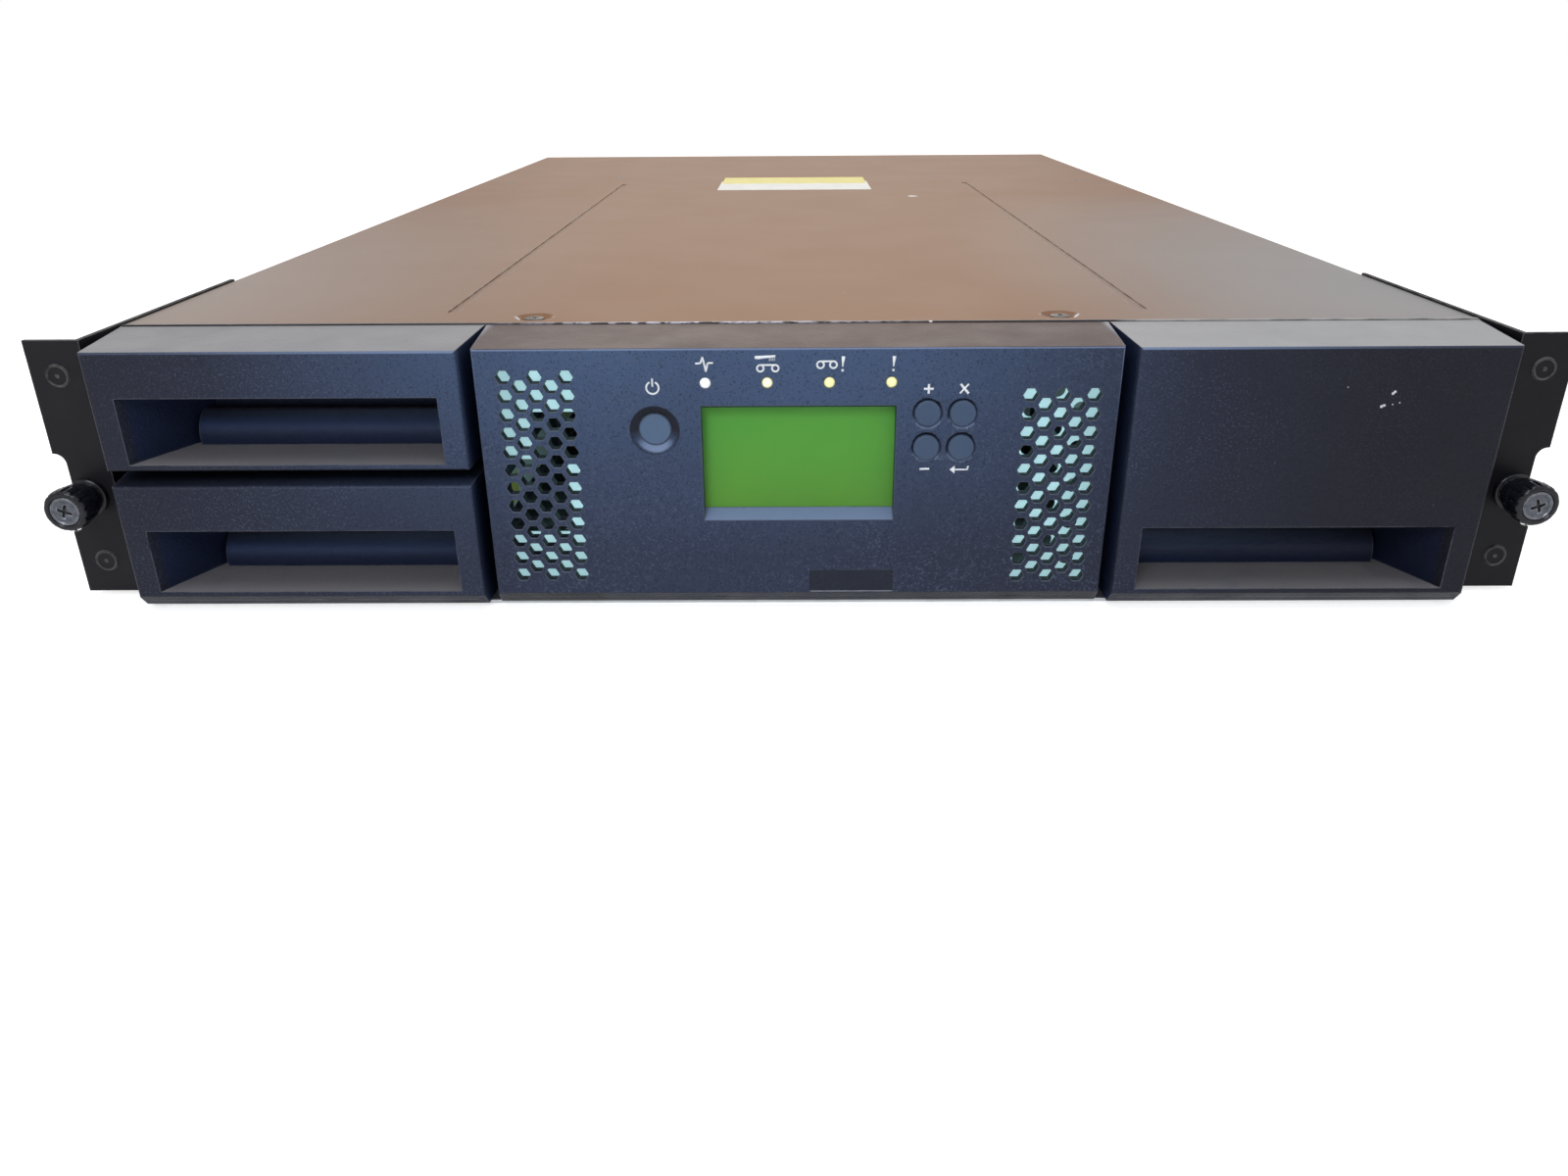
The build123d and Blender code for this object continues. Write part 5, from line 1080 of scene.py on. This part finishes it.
def add_labels(panel_y):
    """The bare name plate on the panel and the bare two-tone sticker on the cover."""
    on_panel, on_cover = facing_front(0, panel_y, 0), facing_up(0, 0, COVER_TOP)
    for plates, place in ((PANEL_PLATES, on_panel), (COVER_LABELS, on_cover)):
        for name, x_span, y_span, thickness, corner, slot, finish in plates:
            sheet = copies(plate(x_span, y_span, thickness, corner), [place])
            piece_from(name, sheet, slot, finish)


# Cover's front edge

HEM_HEIGHT = 0.5
HEM_DEPTH = 1.1
HEM_INSET = 0.6
HEM_SINK = 0.02
HEM_TOP = 87.4


def hem_edge():
    """Dark folded edge, lighter along the middle as bare metal with a painted highlight, and worn at the
    right.
    """
    f = Finish("hem_edge", (0.012, 0.012, 0.018), 0.34, specular=0.4)
    # Bare metal and a painted highlight along the middle of the edge
    middle = f.fade(f.off("X", FRONT_LIGHT_X), 75, 20)
    rubbed = f.span(f.noise(1.4, 4.0, stretch=(0.5, 1.0, 1.0)), 0.42, 0.55)
    f.tint(f.times(middle, rubbed), (0.55, 0.56, 0.66))
    right = f.fade(f.axis("X"), 104, 112)
    worn = f.span(f.noise(2.2, 4.0, stretch=(0.3, 1.0, 1.0)), 0.3, 0.6, 0.25, 0.9)
    f.tint(f.times(right, worn), (0.36, 0.35, 0.34))
    f.spot((-44.0, 22.9, HEM_TOP), 1.0, (0.004, 0.004, 0.006))
    f.spot((44.0, 22.9, HEM_TOP), 0.7, (0.8, 0.78, 0.76))
    f.gloss(f.noise(3.0, 3.0), 0.28, 0.42)
    f.relief(f.noise(0.6, 3.0), 0.02)
    return f.material


def add_cover_hem():
    """The folded front edge of the cover, a little proud of its top."""
    low, high = [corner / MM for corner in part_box("top_cover")]
    x_span, y_span = (low.x + HEM_INSET, high.x - HEM_INSET), (low.y, low.y + HEM_DEPTH)
    strip = copies(plate(x_span, y_span, HEM_HEIGHT, 0.25, 0.15), [facing_up(0, 0, high.z - HEM_SINK)])
    piece_from("cover_hem", strip, "black_steel", "hem_edge")


# Cartridges

CARTRIDGE_SIZE = (105.4, 102.0, 21.5)
CARTRIDGE_COLUMNS = 4
CARTRIDGE_TIERS = 3
RECESS_DEPTH = 0.5
LABEL_SIZE = (76.8, 12.8)
STRIP_MARGIN = 1.0
STRIP_WIDTH = 12.0


def cartridge_label_places(word, side):
    """Where the label of each cartridge in a magazine lies: a placement for a plate drawn in X and Y."""
    low, high = [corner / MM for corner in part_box(word + "_cartridges")]
    pitch_y = (high.y - low.y - CARTRIDGE_SIZE[1]) / (CARTRIDGE_COLUMNS - 1)
    pitch_z = (high.z - low.z - CARTRIDGE_SIZE[2]) / (CARTRIDGE_TIERS - 1)
    x = low.x + RECESS_DEPTH if side > 0 else high.x - RECESS_DEPTH
    turn = Matrix.Rotation(-side * QUARTER, 4, "Z") @ Matrix.Rotation(QUARTER, 4, "X")
    places = []
    for column in range(CARTRIDGE_COLUMNS):
        for tier in range(CARTRIDGE_TIERS):
            if side < 0 and column == 0 and tier == CARTRIDGE_TIERS - 1:
                continue
            y = low.y + column * pitch_y + CARTRIDGE_SIZE[1] / 2
            z = low.z + tier * pitch_z + CARTRIDGE_SIZE[2] / 2
            places.append(facing_up(x, y, z) @ turn)
    return places


def add_cartridge_labels():
    """Bare label stock in the recess on each cartridge's inner end, with a coloured strip at one side."""
    half_length, half_height = LABEL_SIZE[0] / 2, LABEL_SIZE[1] / 2
    near, top = -half_length + STRIP_MARGIN, half_height - STRIP_MARGIN
    label = plate((-half_length, half_length), (-half_height, half_height), 0.14, 0.8)
    strip = plate((near, near + STRIP_WIDTH), (-top, top), 0.18, 0.5)
    for side, word in SIDES:
        places, body = cartridge_label_places(word, side), word + "_magazine"
        piece_from(word + "_cartridge_labels", copies(label, places), "white_light", "label_white", body)
        piece_from(word + "_cartridge_strips", copies(strip, places), "yellow_light", "label_yellow", body)


# Carried-over nodes

OWN_FINISH = {"left_ear": "ear_paint", "right_ear": "ear_paint", "operator_bracket": "zinc_with_painted_glow"}


def dress_nodes():
    """The finish of each CAD node: its slot's, or its own."""
    for sub_part in frame["record"]["subparts"]:
        node = cad[sub_part["node"]]
        finish = FINISHES[OWN_FINISH.get(sub_part["node"], sub_part["material_slot"])]
        for slot in node.material_slots:
            slot.material = finish


# Stage


def camera_matrix():
    c, s = math.cos(CAMERA_YAW), math.sin(CAMERA_YAW)
    right, level = Vector((c, s, 0)), Vector((-s, c, 0))
    down = Vector((0, 0, -1))
    forward = level * math.cos(CAMERA_PITCH) + down * math.sin(CAMERA_PITCH)
    up = level * math.sin(CAMERA_PITCH) - down * math.cos(CAMERA_PITCH)
    c, s = math.cos(CAMERA_ROLL), math.sin(CAMERA_ROLL)
    rolled_right, rolled_up = right * c + up * s, up * c - right * s
    turn = Matrix((rolled_right, rolled_up, -forward)).transposed().to_4x4()
    return Matrix.Translation(Vector(CAMERA_AT) * MM) @ turn


def add_camera():
    data = bpy.data.cameras.new("camera")
    data.sensor_width = SENSOR
    data.lens = FOCAL_PIXELS / IMAGE_WIDTH * SENSOR
    data.clip_start = CAMERA_NEAR * MM
    camera = placed("camera", data)
    camera.matrix_world = camera_matrix()
    bpy.context.scene.camera = camera


def add_lamps():
    for name, place, target, side, watts, colour in LAMPS:
        data = bpy.data.lights.new(name, "AREA")
        data.size = side * MM
        data.energy = watts
        data.color = colour
        lamp = placed(name, data)
        lamp.location = Vector(place) * MM
        aim = Vector(target) * MM - lamp.location
        lamp.rotation_euler = aim.to_track_quat("-Z", "Y").to_euler()


def white_rays(tree):
    """1 for the rays that see the background: the camera's, and those off gloss and through glass."""
    path = tree.nodes.new("ShaderNodeLightPath")
    total = path.outputs["Is Camera Ray"]
    for name in ("Is Glossy Ray", "Is Transmission Ray"):
        node = tree.nodes.new("ShaderNodeMath")
        node.operation = "MAXIMUM"
        tree.links.new(total, node.inputs[0])
        tree.links.new(path.outputs[name], node.inputs[1])
        total = node.outputs[0]
    return total


def add_world():
    world = bpy.data.worlds.new("studio")
    world.use_nodes = True
    tree = world.node_tree
    background = next(n for n in tree.nodes if n.type == "BACKGROUND")
    background.inputs["Color"].default_value = rgba(WHITE)
    strength = tree.nodes.new("ShaderNodeMapRange")
    strength.inputs["To Min"].default_value = WORLD_LIGHT
    strength.inputs["To Max"].default_value = 1.0
    tree.links.new(white_rays(tree), strength.inputs["Value"])
    tree.links.new(strength.outputs["Result"], background.inputs["Strength"])
    bpy.context.scene.world = world


def floor_material():
    f = Finish("floor_surface", FLOOR_COLOUR, 0.9, specular=0.1)
    f.mottle(900, 3.0, 0.3, 0.7, 0.5, (0.88, 0.88, 0.88))
    f.glow(WHITE, f.times(white_rays(f.tree), FLOOR_LIFT))
    return f.material


def add_floor():
    half, drop = FLOOR_HALF * MM, -FLOOR_DROP * MM
    corners = [(x * half, y * half, drop) for x, y in ((-1, -1), (1, -1), (1, 1), (-1, 1))]
    floor = placed("floor", mesh_from(corners, [(0, 1, 2, 3)]))
    floor.data.materials.append(floor_material())


def main():
    add_camera()
    add_world()
    add_lamps()
    add_floor()
    bpy.context.scene.view_settings.view_transform = "Standard"
    FINISHES.update(material_table())
    dress_nodes()
    panel_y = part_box("front_panel")[0].y / MM
    add_panel(panel_y)
    add_vent_collars(panel_y)
    add_symbols(panel_y)
    add_lights(panel_y)
    add_cover_screws()
    add_ear_screws()
    add_rack_screws()
    add_ear_plugs()
    add_labels(panel_y)
    add_cartridge_labels()
    add_cover_hem()


main()
bpy.context.view_layer.update()
